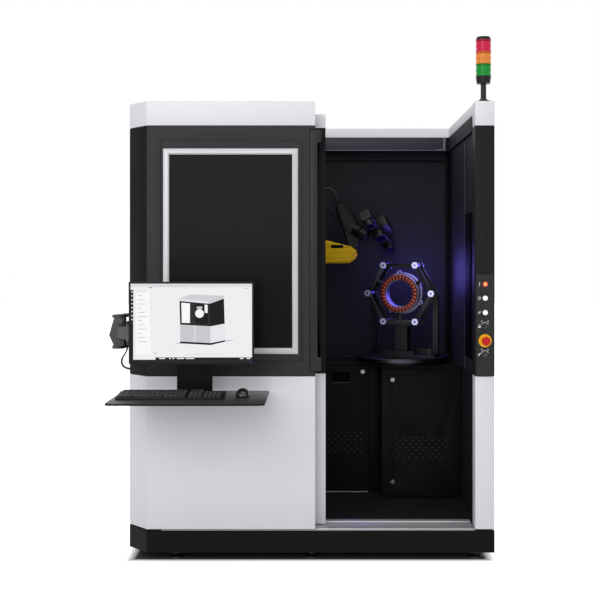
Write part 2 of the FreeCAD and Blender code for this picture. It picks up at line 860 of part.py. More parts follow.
def locks():
    """Quarter-turn locks: a rose with a wing to turn, a shaft and a tongue behind the leaf."""
    rose_height, wing_height, wing_half = 5.0, 8.0, 9.0
    for name, (x, y, z) in lock_centres().items():
        rose = cyl(lock_radius, V(x, y - rose_height, z), AY, rose_height)
        wing = box(x - 2.5, x + 2.5, y - rose_height - wing_height, y - rose_height, z - wing_half,
                   z + wing_half)
        shaft = cyl(lock_shaft, V(x, y, z), AY, door_leaf + 8)
        tongue = box(x - 7, x + 7, y + door_leaf + 4, y + door_leaf + 8, z - 7, z + 24)
        add(name, fuse(rose, wing, shaft, tongue))


def turntable():
    add("turntable_drive", cyl(drive_radius, V(table_x, table_y, table_top), AZ, drive_height))
    platter = cyl(platter_radius, V(table_x, table_y, platter_low), AZ, platter_thickness)
    platter = platter.makeChamfer(platter_chamfer, [e for e in platter.Edges if e.Closed])
    for i in range(platter_holes):
        a = 2 * math.pi * (i + 0.5) / platter_holes
        centre = V(table_x + platter_hole_circle * math.cos(a), table_y + platter_hole_circle * math.sin(a),
                   platter_low - 1)
        platter = platter.cut(cyl(platter_hole, centre, AZ, platter_thickness + 2))
    add("turntable_platter", platter)


def turned(shape):
    """Moves a shape from the fixture's own axes on to the turntable."""
    moved = shape.copy()
    moved.rotate(V(0, 0, 0), AZ, fixture_turn)
    moved.translate(V(table_x, table_y, 0))
    return moved


def hexagon(radius, v0, v1, centre=None):
    """A hexagonal prism along Y, about the fixture's axis or another centre."""
    middle = centre or V(0, 0, hexagon_height)
    corners = [math.radians(60 * i) for i in range(6)]
    points = [(middle.x + radius * math.cos(a), middle.z + radius * math.sin(a)) for a in corners]
    return prism_y(points, v0, v1)


def frame_corners(v):
    """The six corners of the hexagon frame at a depth in the fixture's own axes."""
    corners = [math.radians(60 * i) for i in range(6)]
    middle = V(0, v, hexagon_height)
    return [middle + V(hexagon_radius * math.cos(a), 0, hexagon_radius * math.sin(a)) for a in corners]


def fixture():
    """Two hexagon frames on a column, joined at their corners by sleeved spacers."""
    half, t = hexagon_spacing / 2, hexagon_thickness / 2
    z = platter_top + fixture_plate
    column_half, front_edge = fixture_column_half, fixture_plate_front
    stand = [
        box(-fixture_plate_half, fixture_plate_half, front_edge, fixture_plate_back, platter_top, z),
        rounded_box(-column_half, column_half, 4 - column_half, column_half - 4, z,
                    frame_low - fixture_crown, 6, AZ),
        box(-fixture_crown_half, fixture_crown_half, -half - t, half + t, frame_low - fixture_crown,
            frame_low),
        box(-fixture_bar_half, fixture_bar_half, front_edge, front_edge + fixture_bar_depth, z,
            z + fixture_bar),
    ]
    for x in (-fixture_angle_out, fixture_angle_out - fixture_angle):
        stand.append(box(x, x + fixture_angle, front_edge, front_edge + 18, z, z + 34))
    for x in (-fixture_block_out, fixture_block_out - fixture_block):
        stand.append(box(x, x + fixture_block, 40, 62, z, z + 24))
    for side in (-1, 1):
        corner = V(side * hexagon_radius, half - fixture_post_half, hexagon_height)
        post = box(corner.x - fixture_post_half, corner.x + fixture_post_half, corner.y,
                   half + fixture_post_half, z, hexagon_height - corner_boss - seat)
        post = post.cut(hexagon(hexagon_outer + 2 * seat, corner.y - 1, half + fixture_post_half + 1))
        stand.append(post.cut(cyl(corner_boss + seat, corner - V(0, 1, 0), AY, 2 * fixture_post_half + 2)))
    add("fixture_stand", *[turned(s) for s in stand])
    rings = []
    for v in (-half, half):
        ring = hexagon(hexagon_outer, v - t, v + t).cut(hexagon(hexagon_inner, v - t, v + t))
        ring = fuse(ring, *[cyl(corner_boss, c, AY, 2 * t) for c in frame_corners(v - t)])
        if v < 0:
            reach = hexagon_inner * math.cos(math.radians(30)) + 3
            for turn in (30, 150, 270):
                arm = box(sample_radius + seat, reach, v - t, v + t, -8, 8)
                arm.rotate(V(0, 0, 0), AY, -turn)
                arm.translate(V(0, 0, hexagon_height))
                ring = fuse(ring, arm)
        for corner in frame_corners(v - t - 1):
            ring = ring.cut(cyl(spacer_radius + 0.1, corner, AY, 2 * t + 2))
        rings.append(ring)
    add("fixture_hexagons", *[turned(r) for r in rings])
    front, back = -half - t, half + t
    spacers = []
    for corner in frame_corners(front - sleeve_length):
        spacer = cyl(spacer_radius, corner, AY, back - front + 2 * sleeve_length)
        spacer = fuse(spacer, hexagon(sleeve_hex, front - sleeve_length, front, corner),
                      hexagon(sleeve_hex, back, back + sleeve_length, corner))
        spacers.append(spacer.cut(cyl(spacer_bore, corner - V(0, 1, 0), AY,
                                      back - front + 2 * sleeve_length + 2)))
    add("fixture_spacers", *[turned(s) for s in spacers])


def sample():
    """A motor stator as the sample: housing with a flange and lugs, and the winding's crown."""
    centre = V(0, 0, hexagon_height)
    housing = cyl(sample_radius, V(0, sample_front, hexagon_height), AY, sample_back - sample_front)
    flange_start = V(0, sample_back - flange_thickness, hexagon_height)
    housing = fuse(housing, cyl(sample_flange, flange_start, AY, flange_thickness))
    lugs = [flange_start + V(lug_circle * math.cos(a), 0, lug_circle * math.sin(a))
            for a in map(math.radians, (99, -26, 190, 236))]
    housing = fuse(housing, *[cyl(lug_radius, p, AY, flange_thickness) for p in lugs])
    for p in lugs:
        housing = housing.cut(cyl(lug_hole, p, AY, flange_thickness))
    housing = housing.cut(cyl(sample_bore, V(0, sample_front, hexagon_height), AY,
                              sample_back - sample_front))
    groove_y = sample_front + 14
    groove = tube(sample_radius + 1, sample_radius - 3, V(0, groove_y, hexagon_height), AY, 8)
    add("sample_housing", turned(housing.cut(groove)))
    crown_y = sample_front - crown_depth
    crown = tube(crown_radius, crown_bore, V(0, crown_y, hexagon_height), AY, crown_depth)
    pins = []
    for i in range(hairpins):
        pin = box(crown_bore + 1, crown_radius - 1, crown_y - hairpin_reach, crown_y + 1,
                  -hairpin_width / 2, hairpin_width / 2)
        pin.translate(centre)
        pin.rotate(centre, AY, 360 / hairpins * i)
        pins.append(pin)
    add("sample_winding", turned(fuse(crown, *pins)))


def robot():
    """A six-axis robot: base, shoulder, lower arm, elbow, forearm with a fork, and wrist."""
    y = robot_y
    low = table_top + 20
    profile = [V(0, 0, low), V(robot_drum + 14, 0, low), V(robot_drum + 12, 0, low + 20),
               V(robot_drum, 0, low + 50), V(robot_drum, 0, robot_base_top), V(0, 0, robot_base_top)]
    drum = face_of(profile).revolve(V(0, 0, 0), AZ, 360)
    foot = rounded_box(-robot_foot, robot_foot, -robot_foot, robot_foot, table_top, low, 20, AZ)
    connector = box(-robot_foot - 30, 5 - robot_drum, -40, 40, table_top, table_top + 75)
    base = fuse(foot, drum, connector)
    base.translate(V(robot_x, y, 0))
    add("robot_base", base)
    # Shoulder turret with a cheek up to the shoulder pivot
    low = robot_base_top + link_gap
    turret = cyl(turret_radius, V(robot_x, y, low), AZ, turret_height)
    cheek = link(V(robot_x, y + link_gap, low + 55), shoulder + V(0, link_gap, 0), 72, 62, AY,
                 link_thickness - 4)
    cheek = cheek.cut(box(robot_x - 200, robot_x + 200, y - 200, y + 200, low - 80, low))
    motor = cyl(46, shoulder + V(0, link_thickness - 6, 0), AY, 26)
    add("robot_shoulder", fuse(turret, cheek, motor))
    # Lower arm on the front side of both pivots, with a raised rib and round covers
    face = V(0, -link_thickness, 0)
    arm = link(shoulder + face, elbow + face, shoulder_radius, elbow_radius, AY, link_thickness)
    proud = face + V(0, -8, 0)
    rib = link(shoulder + proud, elbow + proud, shoulder_radius - 20, elbow_radius - 18, AY, 10)
    covers = [cyl(radius - 10, end + face + V(0, -4, 0), AY, 6)
              for end, radius in ((shoulder, shoulder_radius), (elbow, elbow_radius))]
    add("robot_lower_arm", fuse(arm, rib, *covers))
    # Elbow housing behind the lower arm, with the forearm's roll bearing ahead of it
    r = elbow_housing
    hub = link(elbow + V(0, link_gap, 0), V(roll_flange_x - r, y + link_gap, roll_z), r, r, AY,
               link_thickness)
    nose = cyl(r, V(roll_flange_x - 42, y, roll_z), AX, 42)
    motor = cyl(r - 14, elbow + V(0, link_thickness, 0), AY, 24)
    add("robot_elbow", fuse(hub, nose, motor))
    add("robot_forearm", forearm())
    add("robot_wrist", wrist_body())


def forearm():
    """The forearm's casting: a tapered side profile with rounded rims and a fork for the wrist."""
    y, x0, half = robot_y, roll_flange_x + link_gap, forearm_half
    tip = V(wrist.x, y - half, roll_z)
    nose = ((-15, -59), (16, -41), (31, -15), (25, 11), (0, 31), (-142, 67))
    side = [tip + V(dx, 0, dz) for dx, dz in nose]
    side = [V(x0, tip.y, tip.z - 63)] + side + [V(x0, tip.y, tip.z + 65)]
    casting = face_of(side).extrude(V(0, 2 * half, 0))
    flat = [e for e in casting.Edges if abs(e.tangentAt(e.FirstParameter).y) < 1e-6]
    rims = [e for e in flat if e.BoundBox.XMax > x0 + 1]
    casting = casting.makeChamfer(9, rims)
    casting = casting.cut(box(tip.x - 110, tip.x + 80, y - fork_half, y + fork_half, tip.z - 49, tip.z + 85))
    for rise in (-36.0, 24.0):
        seam_line = box(x0 - 1, tip.x + 20, tip.y - 1, tip.y + 1.5, tip.z + rise, tip.z + rise + 2)
        casting = casting.cut(seam_line)
    return casting.cut(cyl(wrist_pin + pin_fit, V(wrist.x, y - half - 1, wrist.z), AY, 2 * half + 2))


def wrist_body():
    """The wrist: a hub in the fork and a long black body above it, with the tool flange."""
    y, t = robot_y, wrist_half
    hub = cyl(wrist_half - 1, V(wrist.x, y - t, wrist.z), AY, 2 * t)
    trunnion = cyl(wrist_pin, V(wrist.x, y - forearm_half, wrist.z), AY, 2 * forearm_half)
    outline = [(-80, 268), (-46, 270), (-8, 231), (30, 182), (46, 108), (40, 50), (22, 18), (-16, 28),
               (-46, 132), (-74, 193), (-88, 248)]
    body = face_of([wrist + V(dx, -t, dz) for dx, dz in outline]).extrude(V(0, 2 * t, 0))
    body = body.makeChamfer(6, [e for e in body.Edges if abs(e.tangentAt(e.FirstParameter).y) < 1e-6])
    start, along = sensor_axis()
    body = body.cut(cyl(flange_radius + 2, start + along * flange_reach, along, 80))
    boss = cyl(flange_radius, start, along, flange_reach)
    plug = cyl(9, wrist + V(-70, 0, 260), V(-0.287, 0, 0.958), 26)
    gland = cyl(9, wrist + V(-25, t, 198), AY, 15)
    return fuse(hub, trunnion, body, boss, plug, gland)


def sensor_axis():
    """Start and direction of the flange that turns the sensor head."""
    return wrist + V(14, -10, 128), V(0.85, -0.354, -0.389).normalize()


def sensor_frame():
    """Centre of the sensor head, the direction of its length and the way it looks."""
    length = V(0.45, 0.77, -0.452).normalize()
    look = V(0.23, -0.589, -0.775)
    look = (look - length * look.dot(length)).normalize()
    return wrist + V(143, -15, 123), length, look


def sensor():
    """A stereo sensor head: a projector between two cameras, each eye a barrel with a lens."""
    start, along = sensor_axis()
    centre, length, look = sensor_frame()
    half, long_half = sensor_body / 2, sensor_length / 2
    rim = flange_reach + link_gap + adapter_length - 7
    barrel = fuse(cyl(adapter_radius, start + along * (flange_reach + link_gap), along, adapter_length),
                  cyl(flange_radius, start + along * rim, along, 8))
    bracket = placed(box(-40, 62, half + seat, half + 42, -52, half - 10.5), centre, length, look)
    bracket = bracket.cut(cyl(60, start, along, flange_reach + link_gap))
    envelope = box(-long_half, long_half, -half - seat, half + seat, -half - 15, half + 30)
    add("sensor_adapter", fuse(barrel, bracket).cut(placed(envelope, centre, length, look)))
    parts = [rounded_box(-long_half, long_half, -half, half, -half, half - 8, 9, AX)]
    eye = long_half - eye_inset
    for c in (-eye, eye):
        parts.append(cyl(eye_barrel, V(c, 0, half - 10), AZ, 40))
        parts.append(rounded_box(c - 30, c + 30, -half - 2, half + 2, -half - 8, half - 6, 9, AZ))
    parts.append(cyl(projector_barrel, V(0, 0, half - 10), AZ, 42))
    parts.append(rounded_box(-48, 48, -half + 6, half - 6, -half - 14, -half + 4, 8, AZ))
    head = fuse(*parts)
    lenses = []
    for c, radius, front in ((0, projector_barrel - 8, half + 32), (-eye, eye_barrel - 7, half + 30),
                             (eye, eye_barrel - 7, half + 30)):
        head = head.cut(cyl(radius + 0.2, V(c, 0, front - 8), AZ, 9))
        lenses.append(cyl(radius, V(c, 0, front - 8), AZ, 5))
    add("sensor_head", placed(head, centre, length, look))
    add("sensor_lenses", *[placed(p, centre, length, look) for p in lenses])


def wall_bracket():
    """The plate on the side wall and its two ears round the arm's pivot."""
    plate = box(left - bracket_plate, left, 135, 235, arm_low - 22, arm_high + 22)
    ears = []
    for z in (arm_low - seat - arm_ear, arm_high + seat):
        root = box(left - 45, left - bracket_plate, 150, 220, z, z + arm_ear)
        ear = fuse(link(V(left - 23, 185, z), V(wall_pivot.x, wall_pivot.y, z), 22, arm_radius, AZ,
                        arm_ear), root)
        ears.append(ear.cut(cyl(pivot_pin + pin_fit, V(wall_pivot.x, wall_pivot.y, z - 1), AZ, arm_ear + 2)))
    add("arm_bracket", fuse(plate, *ears))


def swing_arm():
    """A short arm with a cast hexagonal housing round the wall pivot."""
    pivot, hip = wall_pivot, elbow_pivot
    middle = (arm_low + arm_high) / 2
    housing = prism_y([(pivot.x + 34, arm_low), (pivot.x - 14, arm_low), (housing_left, middle - 14),
                       (pivot.x - 14, arm_high), (pivot.x + 34, arm_high)], pivot.y - 32, pivot.y + 32)
    pin = cyl(pivot_pin, V(pivot.x, pivot.y, arm_low - seat - 12), AZ, arm_high - arm_low + 24 + 2 * seat)
    knob_z = arm_high - 16
    knob = fuse(cyl(14, V(pivot.x + 18, pivot.y - 50, knob_z), AY, 18),
                cyl(6, V(pivot.x + 18, pivot.y - 34, knob_z), AY, 6))
    arm = link(V(pivot.x, pivot.y, middle - arm_half), V(hip.x, hip.y, middle - arm_half),
               arm_radius, arm_radius, AZ, 2 * arm_half)
    hip_boss = cyl(arm_radius + 2, V(hip.x, hip.y, middle - hip_half), AZ, 2 * hip_half)
    hip_pin = cyl(pivot_pin, V(hip.x, hip.y, middle - hip_pin_half), AZ, 2 * hip_pin_half)
    add("swing_arm", fuse(housing, pin, knob, arm, hip_boss, hip_pin))


def console():
    """A beam from the arm's hip, an upright plate with ears for the monitor, and the tray."""
    hip = elbow_pivot
    middle = (arm_low + arm_high) / 2
    low, high = middle - beam_half, middle + beam_half
    half_stand = stand_width / 2
    tip = V(monitor_x - 55.5, stand_y, 0)
    direction = V(tip.x - hip.x, tip.y - hip.y, 0).normalize()
    near = hip + direction * 46
    ears = []
    for z in (low, high - console_ear + seat):
        ear = link(V(hip.x, hip.y, z), V(near.x, near.y, z) + direction * 30, arm_radius + 2, arm_radius - 1,
                   AZ, console_ear - seat)
        ears.append(ear.cut(cyl(pivot_pin + pin_fit, V(hip.x, hip.y, z - 1), AZ, console_ear + 2)))
    side = direction.cross(AZ) * 20
    rear = stand_y + stand_thickness
    plan = [near - side, near + side, tip + side, tip - side]
    beam = fuse(prism_z([(p.x, p.y) for p in plan], low, high), *ears)
    beam = beam.cut(box(monitor_x - half_stand - 20, monitor_x + half_stand, stand_y - 60, rear, low - 1,
                        high + 1))
    plate = box(monitor_x - half_stand, monitor_x + half_stand, stand_y, rear, tray_top, stand_top)
    rib = prism_x([(rear, tray_top), (rear + 70, tray_top), (rear, tray_top + 60)], monitor_x - 8,
                  monitor_x + 8)
    solids = [beam, plate, rib]
    for x in (monitor_x - 57.5, monitor_x + 45.5):
        ear = fuse(box(x, x + tilt_ear, tilt_y, stand_y, tilt_z - 20, tilt_z + 20),
                   cyl(18, V(x, tilt_y, tilt_z), AX, tilt_ear))
        solids.append(ear.cut(cyl(tilt_pin + pin_fit, V(x - 1, tilt_y, tilt_z), AX, tilt_ear + 2)))
    add("console_frame", *solids, tray())


def tray():
    """A thin tray whose front edge bows forward a little."""
    mid, corner_y = (tray_left + tray_right) / 2, tray_front + tray_bow
    outline = Part.Wire([
        Part.LineSegment(V(tray_left, tray_back, 0), V(tray_left, corner_y, 0)).toShape(),
        Part.Arc(V(tray_left, corner_y, 0), V(mid, tray_front, 0), V(tray_right, corner_y, 0)).toShape(),
        Part.LineSegment(V(tray_right, corner_y, 0), V(tray_right, tray_back, 0)).toShape(),
        Part.LineSegment(V(tray_right, tray_back, 0), V(tray_left, tray_back, 0)).toShape(),
    ])
    plate = Part.Face(outline).extrude(V(0, 0, tray_thickness))
    plate.translate(V(0, 0, tray_top - tray_thickness))
    corners = [e for e in plate.Edges if abs(abs(e.tangentAt(e.FirstParameter).z) - 1) < 1e-6]
    return plate.makeFillet(tray_corner, corners)


def keyboard():
    x0, y0 = tray_left + keyboard_out, keyboard_front
    x1, y1 = x0 + keyboard_width, y0 + keyboard_depth
    z = tray_top
    base = prism_x([(y0, z), (y1, z), (y1, z + 22), (y0, z + 9)], x0, x1)
    keys = []
    slope = 13.0 / keyboard_depth
    main_block, cursor_block, number_block = 12.0, 310.0, 373.0
    for row in range(6):
        ky = y0 + 12 + row * (key_pitch + (4 if row == 5 else 0)) + (2 if row else 0)
        lift = z + 9 + slope * (ky - y0)
        for block, count in ((main_block, 15), (cursor_block, 3), (number_block, 4)):
            if block == main_block and row == 0:
                widths = [(12.0, 56), (70.0, 128), (202.0, 94)]
            elif block == number_block and row == 5:
                widths = []
            else:
                widths = [(block + i * key_pitch, key_size) for i in range(count)]
            for kx, width in widths:
                keys.append(box(x0 + kx, x0 + kx + width, ky, ky + key_size, lift - 2, lift + 7))
    add("keyboard", base.multiFuse(keys))


def mouse():
    """A mouse as the common part of a side profile and a plan."""
    x, y, z = tray_left + mouse_out, mouse_front, tray_top
    side = Part.Face(Part.Wire([
        Part.LineSegment(V(x - 40, y, z), V(x - 40, y + 110, z)).toShape(),
        Part.LineSegment(V(x - 40, y + 110, z), V(x - 40, y + 110, z + 10)).toShape(),
        Part.Arc(V(x - 40, y + 110, z + 10), V(x - 40, y + 66, z + 36), V(x - 40, y, z + 12)).toShape(),
        Part.LineSegment(V(x - 40, y, z + 12), V(x - 40, y, z)).toShape(),
    ])).extrude(V(80, 0, 0))
    plan = Part.Face(Part.Wire([
        Part.Arc(V(x - 30, y + 18, z - 1), V(x, y, z - 1), V(x + 30, y + 18, z - 1)).toShape(),
        Part.Arc(V(x + 30, y + 18, z - 1), V(x + 26, y + 55, z - 1), V(x + 31, y + 88, z - 1)).toShape(),
        Part.Arc(V(x + 31, y + 88, z - 1), V(x, y + 110, z - 1), V(x - 31, y + 88, z - 1)).toShape(),
        Part.Arc(V(x - 31, y + 88, z - 1), V(x - 26, y + 55, z - 1), V(x - 30, y + 18, z - 1)).toShape(),
    ])).extrude(V(0, 0, 60))
    wheel = cyl(11, V(x - 3.5, y + 80, z + 24), AX, 7)
    add("mouse", side.common(plan).fuse(wheel))


def monitor():
    half = monitor_width / 2
    x0, x1 = monitor_x - half, monitor_x + half
    z0, z1 = monitor_bottom, monitor_bottom + monitor_height
    y = monitor_face
    back = y + monitor_shell + monitor_bulge
    shell = rounded_box(x0, x1, y, y + monitor_shell, z0, z1, 6, AY)
    bulge = rounded_box(x0 + 90, x1 - 90, y + monitor_shell, back, z0 + 46, z1 - 46, 10, AY)
    sx = screen_width / 2
    top = z1 - (monitor_width - screen_width) / 2
    pocket = box(monitor_x - sx - seat, monitor_x + sx + seat, y, y + 2, top - screen_height - seat,
                 top + seat)
    plate = box(monitor_x - 50, monitor_x + 50, back, back + 10, tilt_z - 50, tilt_z + 50)
    neck = box(monitor_x - 30, monitor_x + 30, back + 10, tilt_y, tilt_z - 10, tilt_z + 10)
    barrel = cyl(tilt_barrel, V(monitor_x - tilt_barrel_length / 2, tilt_y, tilt_z), AX, tilt_barrel_length)
    pin = cyl(tilt_pin, V(monitor_x - 57.5, tilt_y, tilt_z), AX, 115)
    add("monitor_housing", fuse(shell, bulge, plate, neck, barrel, pin).cut(pocket))
    add("monitor_screen", box(monitor_x - sx, monitor_x + sx, y + 0.4, y + 2, top - screen_height, top))


def lit_button(name, z):
    front = -panel_thickness - head_rise
    head = cyl(head_radius, V(control_x, front - head_height, z), AY, head_height)
    head = head.makeChamfer(0.8, [e for e in head.Edges if e.Closed and e.BoundBox.YMax < front - 1])
    stem = cyl(stem_radius, V(control_x, front, z), AY, stem_length)
    add(name, fuse(head, stem))


def rotary(name, z, grip_depth):
    front = -panel_thickness - 8
    drum = cyl(stem_radius, V(control_x, front, z), AY, 24)
    reach = stem_radius - 1
    grip = box(control_x - 2.5, control_x + 2.5, front - grip_depth, front, z - reach, z + reach)
    add(name, fuse(drum, grip))


def controls():
    face = -panel_thickness
    bore = stem_radius + stem_fit
    bezels = []
    for z in (red_z, white_upper_z, white_lower_z, key_z, selector_z):
        ring = tube(bezel_radius, head_radius + stem_fit, V(control_x, face - 4, z), AY, 3)
        back = tube(bezel_radius, bore, V(control_x, face - 1, z), AY, 1)
        sleeve = tube(sleeve_radius, bore, V(control_x, face, z), AY, sleeve_depth)
        bezels.append(fuse(ring, back, sleeve))
    add("button_bezels", *bezels)
    lit_button("button_red", red_z)
    lit_button("button_white_upper", white_upper_z)
    lit_button("button_white_lower", white_lower_z)
    rotary("key_switch", key_z, 14)
    rotary("selector_switch", selector_z, 9)
    collar = tube(stop_collar_radius, bore, V(control_x, face - 3, stop_z), AY, 3)
    neck = tube(stop_neck_radius, bore, V(control_x, face - 18, stop_z), AY, 15)
    sleeve = tube(sleeve_radius, bore, V(control_x, face, stop_z), AY, sleeve_depth)
    add("estop_collar", fuse(collar, neck, sleeve))
    r = stop_head_radius
    profile = [V(0, 0, 0), V(r - 5, 0, 0), V(r, 0, 5), V(r, 0, 10), V(r - 4, 0, 14), V(0, 0, 16)]
    head = face_of(profile).revolve(V(0, 0, 0), AZ, 360)
    head.rotate(V(0, 0, 0), AX, 90)
    head.translate(V(control_x, face - stop_rise, stop_z))
    stem = cyl(stem_radius, V(control_x, face - stop_rise, stop_z), AY, stop_rise + 17)
    add("estop_mushroom", fuse(head, stem))


def signal_tower():
    """A tube on a foot, a black base, three lenses with raised bands, and a cap."""
    x, y, z = control_x, tower_y, cabinet_height
    foot = cyl(tower_radius, V(x, y, z), AZ, 5)
    cone = Part.makeCone(22, tower_tube_radius + 2, 12, V(x, y, z + 5), AZ)
    stem = cyl(tower_tube_radius, V(x, y, z + 5), AZ, tower_tube_height - 5)
    add("tower_stand", fuse(foot, cone, stem))
    z += tower_tube_height
    base = Part.makeCone(tower_radius - 4, tower_radius, tower_base_height, V(x, y, z), AZ)
    z += tower_base_height
    for name in ("tower_lens_green", "tower_lens_amber", "tower_lens_red"):
        lens = cyl(tower_radius - tower_band_rise, V(x, y, z), AZ, lens_height)
        rises = (0, (lens_height - tower_band) / 2, lens_height - tower_band)
        bands = [cyl(tower_radius, V(x, y, z + rise), AZ, tower_band) for rise in rises]
        add(name, fuse(lens, *bands))
        z += lens_height
    cap = Part.makeCone(tower_radius, tower_radius - 4, 13, V(x, y, z), AZ)
    add("tower_housing", base, cap)


def sliding_door():
    x0, x1 = door_left, door_right
    y0, y1 = door_face, door_back
    cap_z = door_top - door_cap_height
    z0, z1 = waist_height + sheet, cap_z
    mid, half_pane = (y0 + y1) / 2, pane_thickness / 2
    frame = box(x0, x1, y0, y1, z0, z1)
    cuts = ((door_stile, y0, y1), (door_stile - door_rebate, mid - half_pane, mid + half_pane))
    for inset, front, back in cuts:
        frame = frame.cut(box(x0 + inset, x1 - inset, front, back, z0 + inset, z1 - inset))
    gliders = []
    for x in (x0 + glider_inset, x1 - glider_inset - glider_width):
        block = box(x, x + glider_width, y1, track_y + 14, deck + sill_thickness + 1, deck + glider_height)
        groove = box(x, x + glider_width, track_y - track_width / 2 - track_clear,
                     track_y + track_width / 2 + track_clear, deck + sill_thickness,
                     deck + track_height + track_clear)
        gliders.append(block.cut(groove))
    add("sliding_door_frame", frame, *gliders)
    inset = door_stile - door_rebate + seat
    add("sliding_door_pane",
        box(x0 + inset, x1 - inset, mid - half_pane + pane_slack, mid + half_pane - pane_slack,
            z0 + inset, z1 - inset))
    lower = box(x0, x1, y0, y1, door_bottom, z0)
    add("sliding_door_lower", lower.cut(box(x0 + 30, x1 - 30, y0 + sheet, y1, door_bottom + 60, z0 - 33)))
    cap = box(x0, x1, y0, y1, cap_z, door_top)
    groove = box(x0, x1, guide_y - guide_bar / 2 - seat, guide_y + guide_bar / 2 + seat,
                 door_top - guide_depth - sheet, door_top)
    add("sliding_door_cap", cap.cut(groove))
    handle_right = handle_left + handle_width
    front, back = handle_face, handle_face + handle_plate
    plate = rounded_box(handle_left, handle_right, front, back, handle_bottom, handle_top, 8, AY)
    notch = rounded_box(handle_right - handle_notch, handle_right + 20, front - 1, back + 1,
                        handle_bottom + handle_notch_low, handle_top - handle_notch_high, 9, AY)
    web = box(handle_left + 0.5, handle_left + 0.5 + handle_web, back, door_face, handle_bottom + 8,
              handle_top - 8)
    add("sliding_door_handle", fuse(plate.cut(notch), web))


def cable(name, points, radius):
    """A tube along straight runs joined by tangent arcs, each as large as its runs allow."""
    edges = []
    radii = []
    at = points[0]
    for before, point, after in zip(points, points[1:], points[2:]):
        back, ahead = before - point, after - point
        run = 0.45 * min(back.Length, ahead.Length)
        back, ahead = back.normalize(), ahead.normalize()
        half_turn = (math.pi - back.getAngle(ahead)) / 2
        bend = run / math.tan(half_turn)
        inward = (back + ahead).normalize()
        centre = point + inward * math.hypot(bend, run)
        start, end = point + back * run, point + ahead * run
        edges.append(Part.LineSegment(at, start).toShape())
        edges.append(Part.Arc(start, centre - inward * bend, end).toShape())
        radii.append(round(bend))
        at = end
    edges.append(Part.LineSegment(at, points[-1]).toShape())
    path = Part.Wire(edges)
    section = Part.Wire(Part.makeCircle(radius, points[0], points[1] - points[0]))
    solid = path.makePipeShell([section], True, False)
    ratio = solid.Volume / (math.pi * radius ** 2 * path.Length)
    print(f"{name}: bend radii {radii} mm, length {path.Length:.0f} mm")
    print(f"{name}: volume over section x length {ratio:.4f}")
    return solid


def cables():
    """A service loop at the sensor's wrist, and the two leads that enter the side wall."""
    loop = [(-77.7, 0, 285.9), (-88, 1, 326), (-116, 5, 358), (-156, 12, 350), (-177, 22, 314),
            (-172, 33, 273), (-146, 48, 239), (-114, 66, 218), (-84, 84, 205), (-58, 94, 199),
            (-36, 88, 198), (-25, 70, 198), (-25, 50.2, 198)]
    add("sensor_cable", cable("sensor_cable", [wrist + V(*p) for p in loop], sensor_cable_radius))
    lower_ear = arm_low - seat - arm_ear - 0.2
    leads = []
    for shift, sag in ((0.0, 0.0), (11.0, 6.0)):
        y = 172.0 + shift
        lead = [(-21, y, 0), (-25, y - 2, -24), (-39 - sag / 2, y - 5, -45), (-48 - sag, y - 5, -69),
                (-40 - sag, y - 3, -92 - sag / 2), (-21, y, -102 - sag), (-0.2, y + 1, -103 - sag)]
        leads.append(cable("side_lead", [V(left + dx, dy, lower_ear + dz) for dx, dy, dz in lead],
                           side_lead_radius))
    add("monitor_cable", *leads)


def main():
    levelling_feet()
    base_plinth()
    door_rails()
    window()
    front_panel()
    panels_lower()
    panels_upper()
    top_cap()
    inner_frame()
    control_plate()
    carcasses()
    lower_doors()
    locks()
    turntable()
    fixture()
    sample()
    robot()
    sensor()
    wall_bracket()
    swing_arm()
    console()
    keyboard()
    mouse()
    monitor()
    controls()
    signal_tower()
    sliding_door()
    cables()
    os.makedirs("parts", exist_ok=True)
    for name, shape in nodes.items():
        moved = shape.copy()
        moved.translate(V(-origin_x, -origin_y, 0))
        moved.exportStep(f"parts/{name}.step")


if __name__ == "__main__":
    main()
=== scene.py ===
# %% [markdown]
# # An optical inspection cell
# The real object is a powder-coated cabinet. A robot inside it carries a stereo sensor over a
# turntable with a sample. The solids come from CAD and stay where they are. This script gives
# each of them its finish, softens the folded edges that light catches, and adds what is too
# small for CAD: the picture on the display, marks, screws, cables and lamp details. It also
# colours the winding's copper wire ends.

# %% Load the imported frame
import bpy
import bmesh
import json
import math
from mathutils import Matrix, Vector

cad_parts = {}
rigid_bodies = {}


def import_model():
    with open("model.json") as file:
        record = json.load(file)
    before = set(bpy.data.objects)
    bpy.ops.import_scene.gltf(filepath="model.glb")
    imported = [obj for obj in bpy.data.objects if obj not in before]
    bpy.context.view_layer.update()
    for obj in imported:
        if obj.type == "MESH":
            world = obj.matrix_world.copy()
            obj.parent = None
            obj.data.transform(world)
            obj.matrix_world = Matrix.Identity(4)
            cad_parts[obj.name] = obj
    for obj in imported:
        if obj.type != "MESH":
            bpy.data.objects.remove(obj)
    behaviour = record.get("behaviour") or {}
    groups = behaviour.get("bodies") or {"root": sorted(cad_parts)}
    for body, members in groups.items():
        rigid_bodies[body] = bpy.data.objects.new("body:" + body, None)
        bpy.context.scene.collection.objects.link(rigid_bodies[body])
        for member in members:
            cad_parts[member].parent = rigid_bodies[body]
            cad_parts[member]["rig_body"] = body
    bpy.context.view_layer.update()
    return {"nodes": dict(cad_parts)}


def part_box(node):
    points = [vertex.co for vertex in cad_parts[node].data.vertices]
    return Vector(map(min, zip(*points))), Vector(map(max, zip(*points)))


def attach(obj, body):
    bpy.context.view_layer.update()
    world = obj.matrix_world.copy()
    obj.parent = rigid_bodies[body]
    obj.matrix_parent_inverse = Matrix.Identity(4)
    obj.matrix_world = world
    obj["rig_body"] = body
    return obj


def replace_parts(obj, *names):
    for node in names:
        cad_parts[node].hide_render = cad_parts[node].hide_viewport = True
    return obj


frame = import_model()
nodes = frame["nodes"]
scene = bpy.context.scene
print("nodes:", len(nodes))

